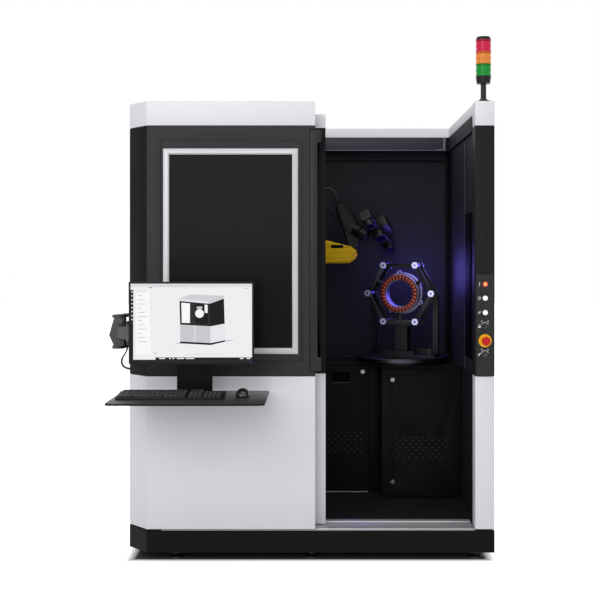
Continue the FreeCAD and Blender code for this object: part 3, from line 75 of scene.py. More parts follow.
# %% [markdown]
# Every place in this file is written in the cabinet's own millimetres: X from its middle, Y
# back from its front face, Z up from the floor. One function turns such a place into metres
# in the shared frame. It reads the cabinet's position from the top cap, so the two can't drift.

# %% Places in the cabinet's own millimetres
MM = 0.001
cap_low, cap_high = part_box("top_cap")
CABINET_MIDDLE = (cap_low.x + cap_high.x) / 2
CABINET_FRONT = cap_low.y


def at(x, y, z):
    return Vector((CABINET_MIDDLE + x * MM, CABINET_FRONT + y * MM, z * MM))


print("cabinet middle", round(CABINET_MIDDLE, 4), "front", round(CABINET_FRONT, 4))

# %% [markdown]
# The photograph was taken from five metres in front, at chest height, with a level camera. Its
# frame was then moved down and left, as a shift lens does, because upright edges stay upright.

# %% Camera
CAMERA_DISTANCE = 5000.0
CAMERA_SIDE = 27.4
CAMERA_HEIGHT = 1360.0
camera_data = bpy.data.cameras.new("camera")
camera_data.lens = 65.5
camera_data.sensor_width = 36.0
camera_data.shift_x = -0.0267
camera_data.shift_y = -0.0625
camera = bpy.data.objects.new("camera", camera_data)
camera.location = at(CAMERA_SIDE, -CAMERA_DISTANCE, CAMERA_HEIGHT)
camera.rotation_euler = (math.radians(90), 0, 0)
scene.collection.objects.link(camera)
scene.camera = camera
print("camera at", [round(value, 3) for value in camera.location])

# %% [markdown]
# Paint colours are easiest to read from a picture as eight-bit values, while a shader wants
# linear light. This function is the standard curve between the two.

# %% Colour helper


def srgb(red, green, blue):
    """Eight-bit display values as a linear colour with full alpha."""
    linear = []
    for value in (red, green, blue):
        v = value / 255
        linear.append(v / 12.92 if v <= 0.04045 else ((v + 0.055) / 1.055) ** 2.4)
    return (*linear, 1.0)


# %% [markdown]
# ## Finishes
# Powder coat, cast paint and moulded plastic all have a fine random grain: droplets, orange
# peel or spark-eroded texture. They differ in its size and depth, and in how unevenly they
# shine. So one node group makes grain from noise in object coordinates, and each material
# sets its own numbers. Near the floor it can add a little settled dust. The group puts out a
# colour, a roughness and a height.

# %% Node helpers


def group_with(name, inputs, outputs):
    tree = bpy.data.node_groups.new(name, "ShaderNodeTree")
    for socket_name, kind, value in inputs:
        socket = tree.interface.new_socket(socket_name, in_out="INPUT", socket_type=kind)
        socket.default_value = value
    for socket_name, kind in outputs:
        tree.interface.new_socket(socket_name, in_out="OUTPUT", socket_type=kind)
    start = tree.nodes.new("NodeGroupInput")
    end = tree.nodes.new("NodeGroupOutput")
    return tree, start.outputs, end.inputs


def feed(tree, socket, value):
    """Gives a socket a number, or a link to another node's output."""
    if isinstance(value, (int, float)):
        socket.default_value = value
    else:
        tree.links.new(value, socket)


def math_node(tree, operation, first, second, clamp=False):
    node = tree.nodes.new("ShaderNodeMath")
    node.operation = operation
    node.use_clamp = clamp
    feed(tree, node.inputs[0], first)
    feed(tree, node.inputs[1], second)
    return node.outputs[0]


def noise_node(tree, scale, detail, place):
    node = tree.nodes.new("ShaderNodeTexNoise")
    for socket, value in (("Scale", scale), ("Detail", detail), ("Vector", place)):
        feed(tree, node.inputs[socket], value)
    return node.outputs["Fac"]


def vector_node(tree, operation, vector, other, socket):
    node = tree.nodes.new("ShaderNodeVectorMath")
    node.operation = operation
    feed(tree, node.inputs[0], vector)
    feed(tree, node.inputs[socket], other)
    return node.outputs[0]


def object_coordinates(tree):
    return tree.nodes.new("ShaderNodeTexCoord").outputs["Object"]


# %% Node group: grain of a coated or moulded surface
FLOAT, COLOUR, VECTOR = "NodeSocketFloat", "NodeSocketColor", "NodeSocketVector"
PATCHES_PER_METRE = 2.6
SMEARS_PER_METRE = 14.0
SMEAR_IN_ROUGHNESS = 0.16
DUST_TOP = 0.32
DUST_COLOUR = srgb(150, 146, 138)
grain_group, g_in, g_out = group_with(
    "grain",
    [("Colour", COLOUR, (0.5, 0.5, 0.5, 1)), ("Roughness", FLOAT, 0.5),
     ("Grain per metre", FLOAT, 900.0), ("Patchiness", FLOAT, 0.05), ("Dust", FLOAT, 0.0)],
    [("Colour", COLOUR), ("Roughness", FLOAT), ("Height", FLOAT)],
)
place = object_coordinates(grain_group)
fine = noise_node(grain_group, g_in["Grain per metre"], 2.0, place)
broad = noise_node(grain_group, PATCHES_PER_METRE, 3.0, place)
smear = noise_node(grain_group, SMEARS_PER_METRE, 4.0, place)
offset = math_node(grain_group, "SUBTRACT", broad, 0.5)
patch = math_node(grain_group, "MULTIPLY", offset, g_in["Patchiness"])
value = math_node(grain_group, "ADD", patch, 1.0)
tint = vector_node(grain_group, "SCALE", g_in["Colour"], value, "Scale")
split = grain_group.nodes.new("ShaderNodeSeparateXYZ")
link = grain_group.links.new
link(place, split.inputs[0])
low_down = math_node(grain_group, "SUBTRACT", DUST_TOP, split.outputs["Z"], True)
settled = math_node(grain_group, "MULTIPLY", low_down, smear)
dust = math_node(grain_group, "MULTIPLY", settled, g_in["Dust"], True)
dusty = grain_group.nodes.new("ShaderNodeMix")
dusty.data_type = "RGBA"
link(dust, dusty.inputs["Factor"])
link(tint, dusty.inputs["A"])
dusty.inputs["B"].default_value = DUST_COLOUR
link(dusty.outputs["Result"], g_out["Colour"])
off_middle = math_node(grain_group, "SUBTRACT", smear, 0.5)
uneven = math_node(grain_group, "MULTIPLY", off_middle, SMEAR_IN_ROUGHNESS)
link(math_node(grain_group, "ADD", g_in["Roughness"], uneven, True), g_out["Roughness"])
link(fine, g_out["Height"])
print("grain group:", len(grain_group.nodes), "nodes")

# %% [markdown]
# Anodised bars and turned steel carry parallel marks from brushing or cutting. Stretching a
# noise along one axis gives such lines. The stretch is an input, because the window's rails
# run upright while the sill's run across.

# %% Node group: brushed metal
BRUSH_LINES_PER_METRE = 1400.0
UPRIGHT, ACROSS, EVEN = (1, 1, 0.02), (0.02, 1, 1), (1, 1, 1)
brush_group, b_in, b_out = group_with(
    "brushed",
    [("Colour", COLOUR, (0.7, 0.7, 0.7, 1)), ("Roughness", FLOAT, 0.35),
     ("Stretch", VECTOR, UPRIGHT), ("Contrast", FLOAT, 0.2)],
    [("Colour", COLOUR), ("Roughness", FLOAT), ("Height", FLOAT)],
)
place = object_coordinates(brush_group)
stretched = vector_node(brush_group, "MULTIPLY", place, b_in["Stretch"], 1)
lines = noise_node(brush_group, BRUSH_LINES_PER_METRE, 3.0, stretched)
centred = math_node(brush_group, "SUBTRACT", lines, 0.5)
change = math_node(brush_group, "MULTIPLY", centred, b_in["Contrast"])
value = math_node(brush_group, "ADD", change, 1.0)
link = brush_group.links.new
link(vector_node(brush_group, "SCALE", b_in["Colour"], value, "Scale"), b_out["Colour"])
link(math_node(brush_group, "ADD", b_in["Roughness"], change, True), b_out["Roughness"])
link(lines, b_out["Height"])
print("brush group:", len(brush_group.nodes), "nodes")

# %% [markdown]
# A material is then a Principled shader fed by one of the groups. What is the same all over a
# surface, such as metalness or the strength of a coat, is set on the shader itself.

# %% Material builders
MICRON = 1e-6


def finish_from(group, name, settings, bump, metallic=0.0, coat=0.0, specular=0.5):
    """A material from a group, its settings by socket name and the bump's depth in metres."""
    material = bpy.data.materials.new(name)
    material.use_nodes = True
    tree = material.node_tree
    shader = tree.nodes["Principled BSDF"]
    node = tree.nodes.new("ShaderNodeGroup")
    node.node_tree = group
    for socket, value in settings.items():
        node.inputs[socket].default_value = value
    tree.links.new(node.outputs["Colour"], shader.inputs["Base Color"])
    tree.links.new(node.outputs["Roughness"], shader.inputs["Roughness"])
    relief = tree.nodes.new("ShaderNodeBump")
    relief.inputs["Distance"].default_value = bump
    relief.inputs["Strength"].default_value = 1.0
    tree.links.new(node.outputs["Height"], relief.inputs["Height"])
    tree.links.new(relief.outputs["Normal"], shader.inputs["Normal"])
    shader.inputs["Metallic"].default_value = metallic
    shader.inputs["Coat Weight"].default_value = coat
    shader.inputs["Coat Roughness"].default_value = 0.12
    shader.inputs["Specular IOR Level"].default_value = specular
    return material


def coated(name, colour, roughness, grain=900, depth=40, patches=0.05, dust=0.0, **shader):
    """Paint, plastic or glass: grain per metre, and the grain's depth in micrometres."""
    settings = {"Colour": colour, "Roughness": roughness, "Grain per metre": grain,
                "Patchiness": patches, "Dust": dust}
    return finish_from(grain_group, name, settings, depth * MICRON, **shader)


def brushed(name, colour, roughness, stretch=UPRIGHT, contrast=0.2, metallic=1.0):
    settings = {"Colour": colour, "Roughness": roughness, "Stretch": stretch, "Contrast": contrast}
    return finish_from(brush_group, name, settings, 10 * MICRON, metallic=metallic)


def glowing(material, colour, strength):
    shader = material.node_tree.nodes["Principled BSDF"]
    shader.inputs["Emission Color"].default_value = colour
    shader.inputs["Emission Strength"].default_value = strength
    return material


# %% [markdown]
# ### The cabinet's paints
# The skins are steel with a fine textured powder coat, white below and on the caps, anthracite
# between them, and matt dark inside so that the cameras see no reflections.

# %% Cabinet finishes
WHITE = coated("white_powder_coat", srgb(222, 222, 227), 0.42, 1100, 30, 0.03, 0.6, specular=0.3)
DARK = coated("anthracite_powder_coat", srgb(52, 52, 55), 0.46, 1100, 50, 0.08, specular=0.08)
# The side, rear and column skins carry the same anthracite coat as the front panel; their darker
# colour is painted shade.
ANTHRACITE_SKINS_SHADE = coated("anthracite_skins_painted_shade", srgb(32, 32, 33), 0.5, 1100, 50, 0.08, specular=0.06)
# Painted shade: the same anthracite, almost black, for the folded corner left of the window.
ANTHRACITE_CORNER_SHADE = coated("anthracite_corner_painted_shade", srgb(20, 20, 21), 0.5, 1100, 50, 0.08, specular=0.04)
# Painted light: the chamber's dark paint made lighter, for the rear header lit from the open roof
# and for the edge of the side beam.
LIT_HEADER_GREY = coated("header_grey_painted_light", srgb(54, 53, 63), 0.45, 1100, 30, 0.06, specular=0.15)
# Painted highlight: a light grey for the lit edges of the header's bracket.
TRIM_EDGE_HIGHLIGHT = coated("trim_edge_painted_highlight", srgb(98, 96, 108), 0.4, 1100, 30, 0.06, specular=0.3)
# Black of the hatch on the right wall; the same black is painted shade in the finger recess and in
# the forearm's cable pocket.
BLACK_HATCH_AND_RECESS_SHADE = coated("black_hatch_and_painted_recess_shade", srgb(7, 7, 8), 0.6, 1100, 30, 0.06, specular=0.02)
DECK = coated("black_deck", srgb(30, 30, 31), 0.5, 900, 50, 0.15, specular=0.1)
# The sliding door's frame is dark and sits back in the front panel's shade; its colour is painted
# darker still as that shade.
DOOR_FRAME_SHADE = coated("dark_door_frame_painted_shade", srgb(22, 22, 24), 0.5, 1100, 40, 0.08, specular=0.08)
CHAMBER = coated("matt_chamber_coat", srgb(30, 29, 34), 0.62, 700, 50, 0.12, specular=0.12)
BASE = coated("black_base_coat", srgb(12, 12, 12), 0.5, 900, 50, 0.1, 0.04, specular=0.06)
HANDLE = coated("satin_black_coat", srgb(40, 40, 41), 0.36, 1200, 20, 0.06, specular=0.15)
PANE = coated("tinted_pane", srgb(24, 24, 26), 0.14, 30, 10, 0.05, specular=0.04)
ANODISED = brushed("satin_anodised", srgb(176, 176, 179), 0.46, metallic=0.6)
# Grey of the filter mats; on the recess lip and beside the side hatch the same grey is a painted
# edge highlight.
GREY_FILTER_AND_EDGE_HIGHLIGHT = coated("filter_grey_and_painted_edge_highlight", srgb(56, 56, 58), 0.4, 1100, 20, 0.1, specular=0.2)
SILL = brushed("satin_anodised_sill", srgb(190, 190, 193), 0.4, ACROSS, 0.3, metallic=0.4)
FOOT = brushed("black_zinc", srgb(70, 70, 72), 0.4, EVEN, 0.2)

# %% [markdown]
# ### Furniture, turntable and sample
# The turntable and its fixture are black anodised, which is a dark metal sheen rather than a
# paint. The sample's housing is machined cast aluminium, and its winding is enamelled copper.

# %% Furniture, turntable and sample finishes
FRONTS = coated("black_cabinet_fronts", srgb(19, 19, 20), 0.5, 1000, 40, 0.12, specular=0.05)
CHROME = brushed("polished_zinc", srgb(118, 118, 121), 0.22, EVEN, 0.1)
PLATTER = brushed("black_anodised_platter", srgb(58, 58, 64), 0.36, EVEN, 0.3)
FIXTURE = coated("black_anodised", srgb(26, 26, 30), 0.36, 1300, 20, 0.1,
                 metallic=0.5, specular=0.2)
SLEEVE = brushed("bright_sleeves", srgb(168, 170, 206), 0.34, EVEN, 0.12)
# The housing's colour is the casting's grey with a painted blue tint from the projector's light.
CASTING_BLUE_TINTED = coated("machined_casting_painted_blue_light", srgb(96, 94, 118), 0.34, 500, 60, 0.15, metallic=0.6)
COPPER = brushed("enamelled_copper", srgb(132, 52, 36), 0.3, EVEN, 0.4, metallic=0.7)
RESIN = coated("red_brown_resin", srgb(78, 24, 18), 0.4, 300, 200, 0.35, specular=0.2)

# %% [markdown]
# ### Robot and sensor
# The robot's castings are sprayed gloss yellow. The paint follows the cast skin, so the grain
# is coarse and shallow below a clear coat. Wrist and sensor are black and dark grey anodised.

# %% Robot and sensor finishes
YELLOW = coated("gloss_yellow_paint", srgb(206, 166, 12), 0.34, 160, 120, 0.14, specular=0.1)
WRIST = coated("black_anodised_wrist", srgb(11, 11, 12), 0.3, 1200, 20, 0.1, specular=0.12)
SENSOR = coated("grey_anodised_sensor", srgb(27, 26, 28), 0.36, 1400, 20, 0.08, specular=0.2)
LENS = coated("dark_coated_glass", srgb(14, 10, 40), 0.04, 40, 5, 0.2, coat=1.0)
BLUE_LENS = glowing(coated("lit_blue_glass", srgb(24, 6, 96), 0.05, 40, 5, 0.2, coat=1.0),
                    srgb(52, 24, 255), 1.7)
CABLE = coated("cable_sheath", srgb(30, 30, 31), 0.4, 1500, 30, 0.1, specular=0.3)

# %% [markdown]
# ### Console, controls and tower
# Moulded plastic has a spark-eroded grain. Lit buttons and tower lenses are clear or dyed
# plastic, so they get a coat for gloss. The buttons glow where their lamps are lit; the tower
# lenses get a faint painted glow that brightens their dye.

# %% Console, control and tower finishes
ARM = coated("grey_cast_coat", srgb(66, 66, 68), 0.45, 500, 100, 0.15, specular=0.3)
CONSOLE = coated("black_console_coat", srgb(17, 17, 18), 0.42, 1100, 40, 0.08, specular=0.08)
# Painted light: the console's black plastic made lighter on the tray's top, which faces the light
# from above.
TRAY_TOP_PAINTED_LIGHT = coated("tray_top_painted_light", srgb(59, 59, 61), 0.34, 1100, 30, 0.08, specular=0.25)
# Painted light: the black keys made lighter on their tops, which catch the light from above.
KEY_TOPS_PAINTED_LIGHT = coated("key_tops_painted_light", srgb(92, 92, 94), 0.45, 1500, 40, 0.08, specular=0.3)
MOUSE = coated("mouse_shell", srgb(26, 26, 28), 0.22, 1500, 10, 0.06, coat=0.25)
KEYS = coated("black_keys", srgb(24, 24, 25), 0.5, 1500, 40, 0.08, specular=0.2)
MONITOR = coated("black_monitor_shell", srgb(20, 20, 21), 0.34, 1300, 40, 0.06, specular=0.12)
BEZEL = brushed("satin_steel_bezel", srgb(58, 58, 62), 0.3, EVEN, 0.15)
LAMP_WHITE = glowing(coated("white_lens", srgb(236, 236, 238), 0.3, 900, 10, 0.02, coat=0.5),
                     srgb(240, 240, 244), 0.25)
SWITCH = coated("black_switch", srgb(30, 30, 31), 0.3, 1300, 20, 0.05, coat=0.3)
STOP_YELLOW = coated("yellow_collar", srgb(240, 176, 20), 0.32, 1300, 20, 0.05,
                     coat=0.1, specular=0.2)
STOP_RED = coated("red_mushroom", srgb(196, 18, 22), 0.32, 1300, 20, 0.05,
                  coat=0.1, specular=0.2)
TOWER = coated("black_tower_plastic", srgb(30, 28, 29), 0.36, 1300, 30, 0.06, specular=0.15)
TOWER_TUBE = coated("black_tower_tube", srgb(30, 30, 31), 0.35, 1300, 20, 0.05, specular=0.2)
# White print with a faint painted glow; the marks are no lamps.
PRINT_WITH_PAINTED_GLOW = glowing(coated("white_print_painted_glow", srgb(206, 206, 206), 0.5, 900, 10, 0.02),
               srgb(200, 200, 200), 0.15)


def dyed_lens_painted_glow(name, colour, glow):
    """Dyed clear plastic with a faint painted glow that brightens its colour."""
    material = glowing(coated(name, colour, 0.12, 600, 20, 0.1, specular=0.3), glow, 0.1)
    shader = material.node_tree.nodes["Principled BSDF"]
    shader.inputs["Transmission Weight"].default_value = 0.75
    shader.inputs["IOR"].default_value = 1.25
    return material


LENS_RED = dyed_lens_painted_glow("red_lens", srgb(186, 34, 76), srgb(255, 30, 70))
LENS_AMBER = dyed_lens_painted_glow("amber_lens", srgb(212, 134, 62), srgb(255, 140, 40))
LENS_GREEN = dyed_lens_painted_glow("green_lens", srgb(22, 128, 50), srgb(10, 200, 60))
print("finishes:", len(bpy.data.materials))

# %% [markdown]
# The red button is lit from behind: almost white where the lamp sits, then yellow, then red at
# the rim. The colour depends on the distance from the button's axis, which a gradient on
# object coordinates gives once a Mapping node has moved its centre to the button.

# %% The lit red button
red_low, red_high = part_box("button_red")
RED_CENTRE = (red_low + red_high) / 2
RED_RADIUS = (red_high.x - red_low.x) / 2


def lit_red():
    any_depth = 1000.0
    material = coated("red_lit_lens", srgb(190, 20, 14), 0.3, 900, 10, 0.02, coat=0.5)
    tree = material.node_tree
    centre = tree.nodes.new("ShaderNodeMapping")
    centre.vector_type = "TEXTURE"
    centre.inputs["Location"].default_value = RED_CENTRE
    centre.inputs["Scale"].default_value = (RED_RADIUS, any_depth, RED_RADIUS)
    tree.links.new(object_coordinates(tree), centre.inputs["Vector"])
    round_out = tree.nodes.new("ShaderNodeTexGradient")
    round_out.gradient_type = "SPHERICAL"
    tree.links.new(centre.outputs["Vector"], round_out.inputs["Vector"])
    ramp = tree.nodes.new("ShaderNodeValToRGB")
    ramp.color_ramp.elements[0].color = srgb(150, 12, 8)
    ramp.color_ramp.elements[1].position = 0.75
    ramp.color_ramp.elements[1].color = srgb(255, 224, 130)
    middle = ramp.color_ramp.elements.new(0.35)
    middle.color = srgb(240, 90, 30)
    tree.links.new(round_out.outputs["Fac"], ramp.inputs["Fac"])
    shader = tree.nodes["Principled BSDF"]
    tree.links.new(ramp.outputs["Color"], shader.inputs["Emission Color"])
    shader.inputs["Emission Strength"].default_value = 1.0
    return material


LAMP_RED = lit_red()

# %% [markdown]
# Each CAD node now takes its finish, which stands in the place of any slot that it came with.

# %% Finishes of the CAD nodes
# Some finishes here hold painted shade or light: the darker skins and the door frame are painted
# shade, and the casting's blue tint is painted light.
FINISHES = (
    (FOOT, "levelling_feet"), (BASE, "base_plinth"), (SILL, "door_rails"), (DARK, "front_panel"),
    (ANODISED, "window_frame"), (PANE, "window_pane sliding_door_pane"),
    (WHITE, "panels_lower top_cap sliding_door_lower sliding_door_cap"),
    (ANTHRACITE_SKINS_SHADE, "panels_upper"), (CHAMBER, "inner_frame"), (DOOR_FRAME_SHADE, "sliding_door_frame"),
    (HANDLE, "control_plate sliding_door_handle"),
    (FRONTS, "lower_carcasses lower_door_left lower_door_right"),
    (CHROME, "lock_left lock_right_upper lock_right_lower"), (PLATTER, "turntable_platter"),
    (FIXTURE, "turntable_drive fixture_stand fixture_hexagons"), (SLEEVE, "fixture_spacers"),
    (CASTING_BLUE_TINTED, "sample_housing"), (RESIN, "sample_winding"),
    (YELLOW, "robot_base robot_shoulder robot_lower_arm robot_elbow robot_forearm"),
    (WRIST, "robot_wrist"), (SENSOR, "sensor_adapter sensor_head"), (LENS, "sensor_lenses"),
    (CABLE, "monitor_cable sensor_cable"), (ARM, "arm_bracket swing_arm"),
    (CONSOLE, "console_frame"), (KEYS, "keyboard mouse"),
    (MONITOR, "monitor_housing monitor_screen"), (BEZEL, "button_bezels key_switch"),
    (LAMP_RED, "button_red"), (LAMP_WHITE, "button_white_upper button_white_lower"),
    (STOP_YELLOW, "estop_collar"), (STOP_RED, "estop_mushroom"), (SWITCH, "selector_switch"),
    (TOWER_TUBE, "tower_stand"), (TOWER, "tower_housing"), (LENS_GREEN, "tower_lens_green"),
    (LENS_AMBER, "tower_lens_amber"), (LENS_RED, "tower_lens_red"),
)
FINISH_OF = {node: finish for finish, names in FINISHES for node in names.split()}
for node, finish in FINISH_OF.items():
    nodes[node].data.materials.clear()
    nodes[node].data.materials.append(finish)
print("nodes with a finish:", len(FINISH_OF))

# %% [markdown]
# ## Soft edges on folded sheet
# A folded or machined edge is never sharp, and its thin highlight is what makes a panel look
# like metal. The CAD solids have sharp edges. So each such node is copied, its triangles are
# joined back into flat faces, and every real corner gets a narrow bevel. The copy stands for
# the node, which stays for collision.

# %% Softened copies of CAD nodes
CORNER_ANGLE = math.radians(32)
FLAT_ANGLE = math.radians(0.5)


def piece_from(bm, name, material, body, flat=False):
    """Turns a bmesh into a piece that rides a body, smooth but for its real corners."""
    mesh = bpy.data.meshes.new(name)
    bm.normal_update()
    bm.to_mesh(mesh)
    bm.free()
    piece = bpy.data.objects.new(name, mesh)
    scene.collection.objects.link(piece)
    piece.data.materials.append(material)
    if not flat:
        mesh.polygons.foreach_set("use_smooth", [True] * len(mesh.polygons))
        mesh.set_sharp_from_angle(angle=CORNER_ANGLE)
    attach(piece, body)
    return piece


def bevelled(bm, edges, width_mm, segments=2):
    bmesh.ops.bevel(bm, geom=edges, offset=width_mm * MM, offset_type="OFFSET", segments=segments,
                    profile=0.5, affect="EDGES", clamp_overlap=True, material=-1)


def softened(node, width_mm):
    """A copy of a CAD node with joined faces and bevelled corners, or sharp ones at width 0."""
    bm = bmesh.new()
    bm.from_mesh(nodes[node].data)
    bmesh.ops.remove_doubles(bm, verts=bm.verts, dist=1e-5)
    bmesh.ops.dissolve_limit(bm, angle_limit=FLAT_ANGLE, verts=bm.verts, edges=bm.edges,
                             delimit={"NORMAL"})
    folded = [e for e in bm.edges if len(e.link_faces) == 2]
    corners = [e for e in folded if e.calc_face_angle() > CORNER_ANGLE]
    if width_mm:
        bevelled(bm, corners, width_mm)
    piece = piece_from(bm, node + "_softened", FINISH_OF[node], nodes[node]["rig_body"])
    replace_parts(piece, node)
    return piece


SOFT_EDGES = {
    "front_panel": 1.6, "panels_lower": 1.6, "panels_upper": 1.6, "top_cap": 2.0, "base_plinth": 0,
    "window_frame": 0.8, "sliding_door_lower": 1.6, "sliding_door_cap": 1.6,
    "sliding_door_handle": 1.2, "control_plate": 0.8, "lower_door_right": 0.8,
    "console_frame": 1.5, "monitor_housing": 1.5, "sensor_head": 1.5, "sensor_adapter": 1.2,
    "swing_arm": 3.0, "robot_forearm": 3.0, "robot_wrist": 2.0, "keyboard": 1.0,
    "door_rails": 0.8, "lower_carcasses": 0.8, "sample_winding": 0.8, "fixture_hexagons": 0.8,
    "sample_housing": 0.8, "lower_door_left": 0,
}
copies = {}
for node, width in SOFT_EDGES.items():
    copy = softened(node, width)
    print(node, "faces:", len(copy.data.polygons))
    copies[node] = copy

# %% [markdown]
# Some nodes are one solid with two looks. The folded corner left of the window turns away from
# the front light, and its faces are painted almost black as shade. The plinth's deck differs from
# the rest of its piece too. The finger recess is painted black as shade, and the key tops and the
# tray's top are painted lighter as light from above. Such faces get a second material.

# %% Second materials, some of them painted shade and painted light
LEFT_LEAF, RIGHT_LEAF = 860.0, 700.0
RECESS_LEFT, RECESS_RIGHT, RECESS_LOW = 112.0, 211.0, 715.0


def second_material(node, material, chosen):
    """Gives another material to those faces of a node's copy that a test picks; some are real
    finishes, some painted light and shade.
    """
    mesh = copies[node].data
    mesh.materials.append(material)
    picked = [face for face in mesh.polygons if chosen(face)]
    for face in picked:
        face.material_index = len(mesh.materials) - 1
    print(node, "has", material.name, "on", len(picked), "faces")


def in_recess(face):
    low, high = at(RECESS_LEFT, LEFT_LEAF + 1, RECESS_LOW), at(RECESS_RIGHT, 0, 0)
    centre = face.center
    return centre.y > low.y and centre.z > low.z and low.x < centre.x < high.x


# The corner faces that turn left, away from the front light, get the painted shade.
second_material("front_panel", ANTHRACITE_CORNER_SHADE, lambda face: face.normal.x < -0.4)
second_material("base_plinth", DECK, lambda face: face.normal.z > 0.9)
# The finger recess's faces are painted black as shade.
second_material("lower_door_left", BLACK_HATCH_AND_RECESS_SHADE, in_recess)
# The key tops get the painted light.
second_material("keyboard", KEY_TOPS_PAINTED_LIGHT, lambda face: face.normal.z > 0.999)
# The tray's upward faces get the painted light.
second_material("console_frame", TRAY_TOP_PAINTED_LIGHT, lambda face: face.normal.z > 0.9)

# %% [markdown]
# The monitor turns on a pin with a close fit in two ears. The flat facets of pin and bore would
# cross when the monitor tilts, so the pin of the softened copy is half a millimetre thinner.

# %% Tilt pin
TILT_AXIS = at(-504.5, -276, 1102)
NEAR_PIN, PAST_HINGE, PIN_PLAY = 7.3 * MM, 44 * MM, 0.5 * MM
pin_vertices = 0
for vertex in copies["monitor_housing"].data.vertices:
    from_axis = Vector((0, vertex.co.y - TILT_AXIS.y, vertex.co.z - TILT_AXIS.z))
    if from_axis.length < NEAR_PIN and abs(vertex.co.x - TILT_AXIS.x) > PAST_HINGE:
        vertex.co -= from_axis.normalized() * PIN_PLAY
        pin_vertices += 1
print("pin vertices moved:", pin_vertices)

# %% [markdown]
# ## The picture on the display
# A display shows light, not paint, so its surfaces glow at about the level of the colours in
# the photograph. The picture is drawn with flat faces a tenth of a millimetre in front of the
# panel: window bars, a side list and a plain drawing of a cell, with no text.

# %% Display surfaces
screen_low, screen_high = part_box("monitor_screen")
SCREEN_WIDTH = screen_high.x - screen_low.x
SCREEN_HEIGHT = screen_high.z - screen_low.z
FIRST_GAP, LAYER_GAP = 0.05, 0.03
STAND_UP = Matrix.Rotation(math.radians(90), 3, "X")


def on_screen(u, v, layer):
    """A place on the display, in shares of its width and height and on a layer in front."""
    gap = (FIRST_GAP + LAYER_GAP * layer) * MM
    return screen_low + Vector((u * SCREEN_WIDTH, -gap, v * SCREEN_HEIGHT))


def display_colour(name, colour):
    material = coated(name, (0.01, 0.01, 0.01, 1), 0.3, 2000, 2, 0.02, specular=0.02)
    return glowing(material, colour, 1.0)


def screen_area(bm, slot, layer, u0, u1, v0, v1):
    """A flat rectangle of the picture."""
    verts = bmesh.ops.create_grid(bm, x_segments=1, y_segments=1, size=0.5)["verts"]
    bmesh.ops.scale(bm, vec=((u1 - u0) * SCREEN_WIDTH, (v1 - v0) * SCREEN_HEIGHT, 1), verts=verts)
    bmesh.ops.rotate(bm, matrix=STAND_UP, verts=verts)
    centre = on_screen((u0 + u1) / 2, (v0 + v1) / 2, layer)
    bmesh.ops.translate(bm, vec=centre, verts=verts)
    for face in {f for v in verts for f in v.link_faces}:
        face.material_index = slot


def face_to_front(bm, corners):
    """A face through these places that looks to the front, whichever way round they run."""
    face = bm.faces.new([bm.verts.new(corner) for corner in corners])
    face.normal_update()
    if face.normal.y > 0:
        face.normal_flip()
    return face


def screen_polygon(bm, slot, layer, points):
    face_to_front(bm, [on_screen(u, v, layer) for u, v in points]).material_index = slot


# %% What the picture holds
PAPER, BAR, LINE, INK, PALE, SLAB, BLACK, SOFT, DOOR, SIDE = range(10)
screen_colours = [
    ("page", srgb(236, 237, 239)), ("bars", srgb(220, 221, 225)),
    ("lines", srgb(168, 170, 176)), ("ink", srgb(24, 25, 29)),
    ("pale_panel", srgb(246, 247, 248)), ("slab", srgb(206, 207, 211)),
    ("black", srgb(16, 16, 18)), ("soft_black", srgb(40, 40, 44)), ("door", srgb(198, 199, 203)),
    ("side", srgb(229, 230, 233)),
]
# Rectangles: colour, layer, left, right, bottom, top
areas = [
    (PAPER, 0, 0, 1, 0, 1), (BAR, 1, 0, 1, 0.955, 1), (PALE, 1, 0.045, 0.165, 0.07, 0.91),
    (INK, 1, 0, 0.022, 0.0, 0.92), (INK, 1, 0.205, 1, 0.0, 0.030),
    (LINE, 2, 0.165, 0.167, 0.47, 0.91), (INK, 2, 0.155, 0.175, 0.942, 0.952),
    (LINE, 2, 0.193, 0.215, 0.084, 0.089), (LINE, 2, 0.2025, 0.2055, 0.064, 0.110),
    (BAR, 2, 0.44, 0.74, 0.066, 0.074), (LINE, 2, 0.05, 0.135, 0.898, 0.904),
]
areas += [(PALE, 2, 0.006, 0.016, 0.885 - i * 0.052, 0.900 - i * 0.052) for i in range(8)]
areas += [(LINE, 2, 0.06, 0.095 + 0.02 * (i % 3), 0.84 - i * 0.055, 0.846 - i * 0.055)
          for i in range(12)]
areas += [(LINE, 2, 0.18 + i * 0.030, 0.195 + i * 0.030, 0.966, 0.974) for i in range(10)]
areas += [(LINE, 2, 0.94 + i * 0.02, 0.95 + i * 0.02, 0.93, 0.945) for i in range(2)]
areas += [(PALE, 2, left, right, 0.010, 0.022) for left, right in (
    (0.235, 0.285), (0.318, 0.332), (0.345, 0.360), (0.382, 0.44), (0.455, 0.525), (0.90, 0.93),
    (0.955, 0.985))]
